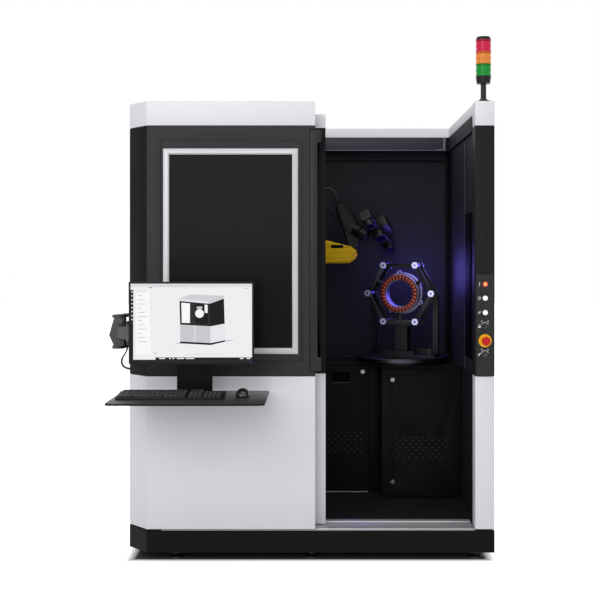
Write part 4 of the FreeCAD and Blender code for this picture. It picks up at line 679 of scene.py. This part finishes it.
# A small cell in the view: pale slab, dark box with openings and a disc, pale doors, dark foot
shapes = [
    (SLAB, 2, [(0.394, 0.800), (0.491, 0.860), (0.766, 0.842), (0.637, 0.768)]),
    (SIDE, 3, [(0.394, 0.800), (0.637, 0.768), (0.637, 0.738), (0.394, 0.775)]),
    (DOOR, 3, [(0.637, 0.768), (0.766, 0.842), (0.766, 0.812), (0.637, 0.738)]),
    (SOFT, 2, [(0.403, 0.775), (0.650, 0.738), (0.656, 0.438), (0.408, 0.459)]),
    (BLACK, 2, [(0.650, 0.738), (0.769, 0.806), (0.775, 0.474), (0.656, 0.438)]),
    (PALE, 3, [(0.418, 0.751), (0.489, 0.741), (0.489, 0.483), (0.422, 0.486)]),
    (BLACK, 3, [(0.531, 0.735), (0.637, 0.722), (0.640, 0.468), (0.533, 0.474)]),
    (PALE, 4, [(0.610, 0.725), (0.634, 0.722), (0.634, 0.615), (0.610, 0.617)]),
    (DOOR, 4, [(0.545, 0.70), (0.59, 0.70), (0.59, 0.67), (0.545, 0.67)]),
    (DOOR, 2, [(0.408, 0.453), (0.656, 0.433), (0.659, 0.219), (0.410, 0.240)]),
    (SIDE, 2, [(0.656, 0.433), (0.775, 0.468), (0.778, 0.257), (0.659, 0.219)]),
    (PALE, 3, [(0.526, 0.444), (0.530, 0.444), (0.532, 0.230), (0.528, 0.230)]),
    (BLACK, 3, [(0.405, 0.240), (0.659, 0.219), (0.659, 0.193), (0.407, 0.215)]),
    (BLACK, 3, [(0.659, 0.219), (0.778, 0.257), (0.778, 0.238), (0.659, 0.193)]),
    (LINE, 2, [(0.36, 0.205), (0.407, 0.222), (0.407, 0.213), (0.36, 0.200)]),
    (LINE, 2, [(0.778, 0.250), (0.85, 0.262), (0.85, 0.258), (0.778, 0.238)]),
]
rays = [math.radians(degrees) for degrees in range(0, 360, 15)]
disc = [(0.568 + 0.036 * math.cos(a), 0.608 + 0.058 * math.sin(a)) for a in rays]
shapes.append((PALE, 4, disc))

# %% Draw the picture
picture = bmesh.new()
for slot, layer, *sides in areas:
    screen_area(picture, slot, layer, *sides)
for slot, layer, points in shapes:
    screen_polygon(picture, slot, layer, points)
page = display_colour(*screen_colours[0])
screen_piece = piece_from(picture, "display_picture", page, "monitor", flat=True)
for entry in screen_colours[1:]:
    screen_piece.data.materials.append(display_colour(*entry))
print("display faces:", len(screen_piece.data.polygons))

# %% [markdown]
# A small blue lamp below the picture shows that the display is on.

# %% Power lamp of the display
LAMP_RADIUS, LAMP_DEPTH, LAMP_INSET, LAMP_LIFT = 1.6 * MM, 0.6 * MM, 16 * MM, 10 * MM
housing_low, housing_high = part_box("monitor_housing")
lamp = bmesh.new()
bmesh.ops.create_cone(lamp, cap_ends=True, segments=16, radius1=LAMP_RADIUS, radius2=LAMP_RADIUS,
                      depth=LAMP_DEPTH)
bmesh.ops.rotate(lamp, matrix=STAND_UP, verts=lamp.verts)
lamp_place = (housing_high.x - LAMP_INSET, screen_low.y - 0.2 * MM, housing_low.z + LAMP_LIFT)
bmesh.ops.translate(lamp, vec=lamp_place, verts=lamp.verts)
POWER_BLUE = glowing(coated("blue_power_lamp", srgb(20, 60, 220), 0.3), srgb(60, 120, 255), 1.0)
piece_from(lamp, "power_lamp", POWER_BLUE, "monitor")
print("power lamp at", [round(value, 3) for value in lamp_place])

# %% [markdown]
# The mouse is a smooth egg shape, cut flat below. CAD keeps its simple outline for collision.

# %% Mouse
mouse_low, mouse_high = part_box("mouse")
egg = bmesh.new()
bmesh.ops.create_uvsphere(egg, u_segments=40, v_segments=24, radius=1.0)
half = (mouse_high - mouse_low) / 2
TAPER, FLAT_BELOW = 0.10, -0.25
for vert in egg.verts:
    x, y, z = vert.co
    vert.co = (x * half.x * (1.0 - TAPER * y), y * half.y, max(z, FLAT_BELOW) * half.z * 1.6)
egg_place = (mouse_low + mouse_high) / 2 - Vector((0, 0, half.z * 0.6))
bmesh.ops.translate(egg, vec=egg_place, verts=egg.verts)
mouse_shell = piece_from(egg, "mouse_shell", MOUSE, "console")
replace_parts(mouse_shell, "mouse")
print("mouse faces:", len(mouse_shell.data.polygons))

# %% [markdown]
# ## Marks beside the controls
# The plate carries small printed marks. They are drawn here as generic shapes: bars, a
# diamond, arcs and dots. A printed mark has almost no thickness, so each is a thin solid
# on the plate's face.

# %% Printed marks
PLATE_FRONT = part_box("control_plate")[0].y
CONTROL_X = 801.0
CONTROL_HEIGHTS = {"red": 1261, "upper": 1197, "lower": 1131, "key": 1068, "selector": 939}
PRINT = 0.15


def print_bar(bm, x, z, width, height, turn=0.0):
    """A rectangle on the control plate, turned by a number of degrees."""
    verts = bmesh.ops.create_cube(bm, size=1.0)["verts"]
    bmesh.ops.scale(bm, vec=(width * MM, PRINT * MM, height * MM), verts=verts)
    bmesh.ops.rotate(bm, matrix=Matrix.Rotation(math.radians(turn), 3, "Y"), verts=verts)
    place = at(x, 0, z)
    place.y = PLATE_FRONT - PRINT / 2 * MM
    bmesh.ops.translate(bm, vec=place, verts=verts)


def print_arc(bm, x, z, radius, start, end, width=2.0):
    """Short bars along an arc."""
    count = max(3, round(abs(end - start) / 15))
    step = (end - start) / count
    length = 2 * radius * math.tan(math.radians(abs(step) / 2)) + 0.3
    for i in range(count):
        turn = start + (i + 0.5) * step
        a = math.radians(turn)
        print_bar(bm, x + radius * math.cos(a), z + radius * math.sin(a), length, width, 90 - turn)


marks = bmesh.new()
mark_x = CONTROL_X - 25
print_bar(marks, mark_x, CONTROL_HEIGHTS["red"] + 2, 3.4, 11)
print_bar(marks, mark_x, CONTROL_HEIGHTS["red"] - 8, 3.0, 3.0)
for turn, dx, dz in ((-45, -3.6, 3.6), (45, 3.6, 3.6), (-45, 3.6, -3.6), (45, -3.6, -3.6)):
    print_bar(marks, mark_x + dx, CONTROL_HEIGHTS["upper"] + dz, 11, 2.0, turn)
for shift in (-3.5, 3.5):
    print_bar(marks, mark_x + shift, CONTROL_HEIGHTS["lower"], 11, 2.2, -52)
    print_bar(marks, mark_x + shift * 0.4, CONTROL_HEIGHTS["lower"] + shift, 7, 2.0, 38)
for height in (CONTROL_HEIGHTS["key"], CONTROL_HEIGHTS["selector"]):
    print_arc(marks, CONTROL_X, height, 17.5, 25, 155)
    print_arc(marks, CONTROL_X - 15, height + 23, 3.2, 0, 360, 1.4)
    print_bar(marks, CONTROL_X + 14, height + 23, 3.0, 7.0)
print_arc(marks, mark_x, CONTROL_HEIGHTS["key"] + 3, 4.0, 0, 180, 2.0)
print_bar(marks, mark_x, CONTROL_HEIGHTS["key"] - 3, 11, 8)
print_bar(marks, mark_x + 2, CONTROL_HEIGHTS["selector"] + 3, 10, 5, -30)
print_bar(marks, mark_x - 3, CONTROL_HEIGHTS["selector"] - 4, 6, 5, -30)
control_marks = piece_from(marks, "control_marks", PRINT_WITH_PAINTED_GLOW, "cabinet", flat=True)
print("mark faces:", len(control_marks.data.polygons))

# %% [markdown]
# ## Screws
# One function makes a screw head: a short cylinder with a round socket pushed in from its top
# face. It is placed by a point and a direction, and many are joined into one piece. Two heads
# hold the sill.

# %% Screw heads
SOCKET_MARGIN, SOCKET_DEPTH = 0.42, 0.5


def turned_to(direction):
    """The rotation that takes the Z axis to a direction."""
    return Vector((0, 0, 1)).rotation_difference(Vector(direction)).to_matrix()


def screw_head(bm, place, direction, radius, height):
    verts = bmesh.ops.create_cone(bm, cap_ends=True, segments=18, radius1=radius, radius2=radius,
                                  depth=height)["verts"]
    faces = {f for v in verts for f in v.link_faces}
    top = max(faces, key=lambda f: f.calc_center_median().z)
    inset = bmesh.ops.inset_region(bm, faces=[top], thickness=radius * SOCKET_MARGIN)
    bmesh.ops.translate(bm, vec=(0, 0, -height * SOCKET_DEPTH), verts=top.verts)
    head = list({v for f in inset["faces"] for v in f.verts} | set(verts) | set(top.verts))
    bmesh.ops.translate(bm, vec=(0, 0, height / 2), verts=head)
    bmesh.ops.rotate(bm, matrix=turned_to(direction), verts=head)
    bmesh.ops.translate(bm, vec=place, verts=head)


def screws(name, places, direction, radius_mm, height_mm, material, body, slot):
    bm = bmesh.new()
    for place in places:
        screw_head(bm, place, direction, radius_mm * MM, height_mm * MM)
    piece_from(bm, name, material, body)
    print(name, len(places))


SILL_SHEET = 3.0
sill_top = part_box("door_rails")[0].z / MM + SILL_SHEET
sill_screws = [at(x, 100, sill_top) for x in (178, 465)]
screws("sill_screws", sill_screws, (0, 0, 1), 5, 1.0, SILL, "cabinet", "anodised")

# %% [markdown]
# The rear and side skins are held by countersunk screws that lie almost flush with the paint.

# %% Skin screws
REAR_FACE, SIDE_FACE, SUNK = 1200.0, 845.0, 0.1
SKINS = (("white", (170, 806), WHITE), ("dark", (872, 1954), ANTHRACITE_SKINS_SHADE))
for colour, heights, finish in SKINS:
    head = (4.5, 2 * SUNK, finish, "cabinet", colour + "_paint")
    rear = [at(x, REAR_FACE - SUNK, z) for z in heights for x in (-815, -30, 30, 815)]
    screws(colour + "_rear_screws", rear, (0, 1, 0), *head)
    for side, facing in (("_right", 1), ("_left", -1)):
        x = facing * (SIDE_FACE - SUNK)
        places = [at(x, y, z) for z in heights for y in (260, 690, 1165)]
        screws(colour + side + "_screws", places, (facing, 0, 0), *head)

# %% [markdown]
# ## Small sheet parts
# Some thin parts change how an area looks but not how the object moves or bears load: the lip
# of the finger recess, filter mats behind the vents, a strip under the left leaf, the trim on
# the rear header, a frame round the rear liner and a hatch on the right wall. Several of them
# are painted light and shade: the recess lip, the header's trim and bracket, the beam's flange
# and the strip beside the hatch are painted light, while a plate over the header's right end
# and a band of the liner frame under the header are painted shade. Each is made of boxes,
# most with softened edges.

# %% Thin parts on cabinet and furniture


def thin_part(name, boxes, material, body, bevel_mm):
    """Boxes in cabinet millimetres (x0, x1, y0, y1, z0, z1), joined into one piece."""
    bm = bmesh.new()
    for x0, x1, y0, y1, z0, z1 in boxes:
        verts = bmesh.ops.create_cube(bm, size=1.0)["verts"]
        bmesh.ops.scale(bm, vec=((x1 - x0) * MM, (y1 - y0) * MM, (z1 - z0) * MM), verts=verts)
        bmesh.ops.translate(bm, vec=at((x0 + x1) / 2, (y0 + y1) / 2, (z0 + z1) / 2), verts=verts)
    if bevel_mm:
        bevelled(bm, list(bm.edges), bevel_mm)
    piece_from(bm, name, material, body)


INNER_RIGHT, RIGHT_LINER, REAR_LINER = 761.0, 769.8, 1145.0
HEADER_LOW, HEADER_TOP, LINER_GAP = 1977, 2049, 0.2
filter_front, filter_back = 6, 8
# Name: finish, body, slot, bevel, boxes
THIN_PARTS = {
    # A pale strip along the recess's lower lip: painted highlight.
    "recess_lip_highlight": (GREY_FILTER_AND_EDGE_HIGHLIGHT, "left_leaf", "handle_paint", 0.4,
                   [(113, 210, LEFT_LEAF - 1, LEFT_LEAF, 714, 718)]),
    "left_filter": (GREY_FILTER_AND_EDGE_HIGHLIGHT, "left_leaf", "handle_paint", 0,
                    [(90, 280, LEFT_LEAF + filter_front, LEFT_LEAF + filter_back, 332, 458)]),
    "right_filter": (GREY_FILTER_AND_EDGE_HIGHLIGHT, "right_leaf", "handle_paint", 0,
                     [(440, 724, RIGHT_LEAF + filter_front, RIGHT_LEAF + filter_back, 332, 458)]),
    # A plate on the rear header, painted lighter as light from above.
    "header_plate_painted_light": (LIT_HEADER_GREY, "cabinet", "chamber_paint", 0.8,
                    [(-200, 742, 1026.5, 1029.5, 1982, HEADER_TOP)]),
    # The bracket's strips are painted light grey as the highlight along the header's lower and
    # right edges.
    "header_bracket_highlight": (TRIM_EDGE_HIGHLIGHT, "cabinet", "chamber_paint", 0.8,
                       [(-200, 695, 1022, 1026.5, HEADER_LOW, 1981.5),
                        (729, 742, 1019, 1026.5, HEADER_LOW, HEADER_TOP),
                        (695, 729, 1019, 1026.5, HEADER_LOW, 1985)]),
    # A black plate over the header's right end: painted shade of the dark corner.
    "header_gap_painted_shade": (PANE, "cabinet", "chamber_paint", 0,
                   [(742.5, INNER_RIGHT, 1026.5, 1029.5, HEADER_LOW, HEADER_TOP)]),
    # A strip under the side beam, painted lighter as its edge highlight.
    "beam_flange_highlight": (LIT_HEADER_GREY, "cabinet", "chamber_paint", 0.8,
                    [(INNER_RIGHT - 4, INNER_RIGHT, 150, 1018, 1976, 1980)]),
    "side_hatch": (BLACK_HATCH_AND_RECESS_SHADE, "cabinet", "chamber_paint", 1.2,
                   [(767, RIGHT_LINER, 180, 425, 900, 1600)]),
    # Its long horizontal strip under the header is a black band of painted shade.
    "liner_frame_and_shade_band": (BASE, "cabinet", "chamber_paint", 0,
                    [(767, RIGHT_LINER, 948, REAR_LINER, 846, 1974),
                     (752, 767, REAR_LINER - 3, REAR_LINER - LINER_GAP, 846, 1974),
                     (-765, 752, REAR_LINER - 3, REAR_LINER - LINER_GAP, 1921, 1935)]),
    # A pale strip at the hatch's rear edge: painted highlight.
    "side_edge_highlight": (GREY_FILTER_AND_EDGE_HIGHLIGHT, "cabinet", "chamber_paint", 1.2,
                  [(766, RIGHT_LINER, 425, 431, 840, 1960)]),
    "leaf_strip": (SILL, "cabinet", "anodised", 0.5,
                   [(-320, 305, LEFT_LEAF - 12, LEFT_LEAF - 2, 131, 133)]),
}
for name, (finish, body, slot, bevel_mm, boxes) in THIN_PARTS.items():
    thin_part(name, boxes, finish, body, bevel_mm)
print("thin parts:", len(THIN_PARTS))

# %% [markdown]
# ## The sensor's optics
# Each eye of the sensor is a short barrel, which is a CAD solid, with a glass in front. The
# middle one projects blue light, so its glass glows. The glasses are lathed: a profile spun
# round the axis. A flat black hood lies along the back of the head.

# %% Eyes of the sensor
SENSOR_CENTRE = at(365, 985, 1535)
SENSOR_LENGTH = Vector((0.45, 0.77, -0.452)).normalized()
look = Vector((0.23, -0.589, -0.775))
SENSOR_LOOK = (look - SENSOR_LENGTH * look.dot(SENSOR_LENGTH)).normalized()
EYE_SPACING, PROJECTOR_SEAT, EYE_SEAT = 135.0, 53.0, 51.0
STEPS_ROUND = 48


def spun(profile, name, material, body, centre, direction):
    """A lathed piece: points (radius, height) in millimetres turned about a direction."""
    bm = bmesh.new()
    verts = [bm.verts.new((r * MM, 0, z * MM)) for r, z in profile]
    edges = [bm.edges.new(pair) for pair in zip(verts, verts[1:])]
    bmesh.ops.spin(bm, geom=verts + edges, cent=(0, 0, 0), axis=(0, 0, 1), angle=math.tau,
                   steps=STEPS_ROUND, use_merge=True, use_duplicate=False)
    bmesh.ops.remove_doubles(bm, verts=bm.verts, dist=1e-6)
    bmesh.ops.recalc_face_normals(bm, faces=bm.faces)
    bmesh.ops.rotate(bm, matrix=turned_to(direction), verts=bm.verts)
    bmesh.ops.translate(bm, vec=centre, verts=bm.verts)
    return piece_from(bm, name, material, body)


def eye(name, along, r, seat, glass):
    """A glass dome of radius r in its barrel, at a distance along the head's length."""
    start = SENSOR_CENTRE + SENSOR_LENGTH * along * MM + SENSOR_LOOK * seat * MM
    dome = [(0, 4.4), (r * 0.35, 4.1), (r * 0.65, 3.2), (r * 0.88, 1.9), (r, 0.4), (r, 0), (0, 0)]
    spun(dome, name, glass, "sensor", start, SENSOR_LOOK)


HOOD_SIZE, HOOD_BACK = Vector((212, 54, 9)), 32.0
hood = bmesh.new()
bmesh.ops.create_cube(hood, size=1.0)
bmesh.ops.scale(hood, vec=HOOD_SIZE * MM, verts=hood.verts)
bevelled(hood, list(hood.edges), 2.5, segments=3)
across = SENSOR_LOOK.cross(SENSOR_LENGTH)
axes = Matrix((SENSOR_LENGTH, across, SENSOR_LOOK)).transposed()
bmesh.ops.rotate(hood, matrix=axes, verts=hood.verts)
bmesh.ops.translate(hood, vec=SENSOR_CENTRE - SENSOR_LOOK * HOOD_BACK * MM, verts=hood.verts)
piece_from(hood, "sensor_hood", WRIST, "sensor")
eye("eye_projector", 0, 26.6, PROJECTOR_SEAT, BLUE_LENS)
eye("eye_left", -EYE_SPACING, 19.6, EYE_SEAT, LENS)
eye("eye_right", EYE_SPACING, 19.6, EYE_SEAT, LENS)
print("sensor looks along", [round(value, 3) for value in SENSOR_LOOK])

# %% [markdown]
# The forearm's fork is closed by a cap over the wrist's pin, held by one screw. A flat black oval
# on its upper flank is painted shade that stands for a pocket for the cables.

# %% Cap, screw and pocket of the forearm
FOREARM_SIDE = 946.0
FORWARD = (0, -1, 0)
CAP_HEIGHT = 1.4
cap_profile = [(0, CAP_HEIGHT), (13, CAP_HEIGHT), (16, 0.4), (16, 0), (0, 0)]
wrist_cap = spun(cap_profile, "wrist_cap", YELLOW, "forearm", at(222, FOREARM_SIDE, 1412), FORWARD)
screw_place = at(229, FOREARM_SIDE - CAP_HEIGHT, 1406)
screws("wrist_cap_screw", [screw_place], FORWARD, 3.2, 1.5, CHROME, "forearm", "robot_black")
POCKET_X, POCKET_Z, POCKET_HALF, POCKET_RADIUS = 142, 1447, 26, 9
outline = []
for side, first in ((1, -90), (-1, 90)):
    for i in range(13):
        a = math.radians(first + i * 15)
        outline.append(at(POCKET_X + side * POCKET_HALF + POCKET_RADIUS * math.cos(a),
                          FOREARM_SIDE - 0.4, POCKET_Z + POCKET_RADIUS * math.sin(a)))
# Painted shade of the cable pocket: a flat black face just off the flank.
pocket = bmesh.new()
face_to_front(pocket, outline)
piece_from(pocket, "forearm_pocket_painted_shade", BLACK_HATCH_AND_RECESS_SHADE, "forearm", flat=True)
print("cap, screw and pocket on the forearm")

# %% [markdown]
# ## The sample's winding
# The ends of the hairpins are bare enamelled copper. The ring that they come out of is soaked in
# dark resin. Both are one solid in CAD, so the depth along the bore tells them apart.

# %% Hairpins of the winding
SAMPLE_CENTRE = at(485, 807, 1197)
SAMPLE_TURN = math.radians(-18)
BORE_AXIS = Vector((-math.sin(SAMPLE_TURN), math.cos(SAMPLE_TURN), 0))
COPPER_FROM = -74.6 * MM
second_material("sample_winding", COPPER,
              lambda face: (face.center - SAMPLE_CENTRE).dot(BORE_AXIS) < COPPER_FROM)

# %% [markdown]
# ## Cables
# The sensor's lead rises from the wrist in a service loop and comes back to a gland. Two thin
# leads drop from the console's bracket to the side wall. Each is one smooth NURBS curve on
# the route that CAD uses, with a round bevel. The ends stay straight out of their glands.

# %% Cables


def lead(name, route, radius_mm, body):
    """A round cord along a route in cabinet millimetres."""
    curve = bpy.data.curves.new(name, "CURVE")
    curve.dimensions = "3D"
    curve.bevel_depth = radius_mm * MM
    curve.bevel_resolution = 5
    curve.resolution_u = 10
    curve.use_fill_caps = True
    spline = curve.splines.new("NURBS")
    spline.points.add(len(route) - 1)
    for point, place in zip(spline.points, route):
        point.co = (*at(*place), 1.0)
    spline.order_u = 3
    spline.use_endpoint_u = True
    piece = bpy.data.objects.new(name, curve)
    scene.collection.objects.link(piece)
    curve.materials.append(CABLE)
    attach(piece, body)
    return piece


WRIST_CENTRE = (222, 1000, 1412)
sensor_route = [tuple(c + d for c, d in zip(WRIST_CENTRE, offset)) for offset in (
    (-77.7, 0, 285.9), (-88, 1, 326), (-116, 5, 358), (-156, 12, 350), (-177, 22, 314),
    (-172, 33, 273), (-146, 48, 239), (-114, 66, 218), (-84, 84, 205), (-58, 94, 199),
    (-36, 88, 198), (-25, 70, 198), (-25, 50.2, 198))]
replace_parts(lead("sensor_lead", sensor_route, 7.0, "wrist"), "sensor_cable")
LOWER_EAR = 961.5
SIDE_WALL = -SIDE_FACE
side_leads = []
for number, (shift, sag) in enumerate(((0.0, 0.0), (11.0, 6.0))):
    y = 172.0 + shift
    route = [
        (-866, y, LOWER_EAR), (-870, y - 2, LOWER_EAR - 24),
        (-884 - sag / 2, y - 5, LOWER_EAR - 45), (-893 - sag, y - 5, LOWER_EAR - 69),
        (-885 - sag, y - 3, LOWER_EAR - 92 - sag / 2),
        (-866, y, LOWER_EAR - 102 - sag), (SIDE_WALL - 0.2, y + 1, LOWER_EAR - 103 - sag),
    ]
    side_lead = lead("side_lead_" + str(number + 1), route, 3.0, "cabinet")
    side_leads.append(side_lead)
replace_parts(side_leads[0], "monitor_cable")

# %% [markdown]
# ## Stage
# The object stands on a white floor in front of white. The world is white to the camera, to
# gloss and to glass, but lights the object at a gentler level. The floor glows white round the
# object and not under it, so that the object's shadow stays. Under and next to the object the
# floor's own colour also drops to near black: a painted shadow.

# %% Floor
FOOTPRINT = {"X": (CABINET_MIDDLE, 800 * MM), "Y": (CABINET_FRONT + 600 * MM, 590 * MM)}
FADE = 55 * MM
FLOOR_GLOW, FLOOR_SHADOW_GREY, FLOOR_RISE = 0.8, 0.04, 0.86
floor_mesh = bmesh.new()
bmesh.ops.create_grid(floor_mesh, x_segments=1, y_segments=1, size=30)
mesh = bpy.data.meshes.new("floor")
floor_mesh.to_mesh(mesh)
floor_mesh.free()
floor = bpy.data.objects.new("floor", mesh)
scene.collection.objects.link(floor)
FLOOR = bpy.data.materials.new("white_floor_painted_shadow")
FLOOR.use_nodes = True
tree = FLOOR.node_tree
shader = tree.nodes["Principled BSDF"]
shader.inputs["Roughness"].default_value = 0.6
shader.inputs["Emission Color"].default_value = (1, 1, 1, 1)
ray = tree.nodes.new("ShaderNodeLightPath")
seen = math_node(tree, "ADD", ray.outputs["Is Camera Ray"], ray.outputs["Is Glossy Ray"], True)
split = tree.nodes.new("ShaderNodeSeparateXYZ")
tree.links.new(object_coordinates(tree), split.inputs[0])
outside = []
for axis, (centre, half) in FOOTPRINT.items():
    offset = math_node(tree, "SUBTRACT", split.outputs[axis], centre)
    offset = math_node(tree, "ABSOLUTE", offset, 0.0)
    outside.append(math_node(tree, "SUBTRACT", offset, half))
edge = math_node(tree, "MAXIMUM", *outside)
fill = math_node(tree, "DIVIDE", edge, FADE, True)
lit = math_node(tree, "MULTIPLY", seen, FLOOR_GLOW)
tree.links.new(math_node(tree, "MULTIPLY", lit, fill), shader.inputs["Emission Strength"])
# Painted shadow: the floor's colour falls to near black under the footprint and rises to white
# over the fade.
tone = math_node(tree, "MULTIPLY", fill, FLOOR_RISE)
grey = math_node(tree, "ADD", tone, FLOOR_SHADOW_GREY)
tree.links.new(grey, shader.inputs["Base Color"])
floor.data.materials.append(FLOOR)
print("floor and its fade of", FADE, "m")

# %% World
WORLD_LEVEL = 0.51
world = bpy.data.worlds.new("white_surroundings")
scene.world = world
world.use_nodes = True
tree = world.node_tree
background = tree.nodes["Background"]
background.inputs["Color"].default_value = (1, 1, 1, 1)
ray = tree.nodes.new("ShaderNodeLightPath")
shown = math_node(tree, "MAXIMUM", ray.outputs["Is Camera Ray"], ray.outputs["Is Glossy Ray"])
shown = math_node(tree, "MAXIMUM", shown, ray.outputs["Is Transmission Ray"])
lift = math_node(tree, "MULTIPLY", shown, 1 - WORLD_LEVEL)
tree.links.new(math_node(tree, "ADD", lift, WORLD_LEVEL), background.inputs["Strength"])
print("the world lights the object at", WORLD_LEVEL)

# %% [markdown]
# A large soft key lamp at the left and a weak fill at the right give the front its even light.
# The overhead lamp reaches the rear cap. A small blue spot repeats the projector's light on the
# fixture, and a blue point stands for what the walls throw back.

# %% Lamps


def lamp_of(name, kind, place, power, colour=(1, 1, 1)):
    data = bpy.data.lights.new(name, kind)
    data.energy = power
    data.color = colour
    lamp = bpy.data.objects.new(name, data)
    lamp.location = place
    scene.collection.objects.link(lamp)
    return lamp


def area_lamp(name, place, aim, size, power):
    lamp = lamp_of(name, "AREA", place, power)
    lamp.data.shape = "RECTANGLE"
    lamp.data.size, lamp.data.size_y = size
    lamp.rotation_euler = (aim - place).to_track_quat("-Z", "Y").to_euler()


middle = at(0, 600, 1100)
rear_cap = at(0, 1030, 2040)
area_lamp("key", at(-2200, -6200, 3300), middle, (5.0, 4.0), 192)
area_lamp("fill", at(3200, -4600, 2400), middle, (2.5, 2.5), 14)
area_lamp("overhead", at(50, -350, 3800), rear_cap, (2.4, 0.8), 16)
lens_front = SENSOR_CENTRE + SENSOR_LOOK * 90 * MM
blue_spot = lamp_of("projector_light", "SPOT", lens_front, 20, (0.12, 0.05, 1.0))
blue_spot.rotation_euler = SENSOR_LOOK.to_track_quat("-Z", "Y").to_euler()
blue_spot.data.spot_blend = 1.0
blue_spot.data.spot_size = math.radians(75)
blue_spot.data.shadow_soft_size = 30 * MM
blue_point = lamp_of("blue_bounce", "POINT", at(585, 950, 1300), 4.1, (0.2, 0.15, 1.0))
blue_point.data.shadow_soft_size = 120 * MM
scene.view_settings.view_transform = "Standard"
print("lamps:", len(bpy.data.lights))
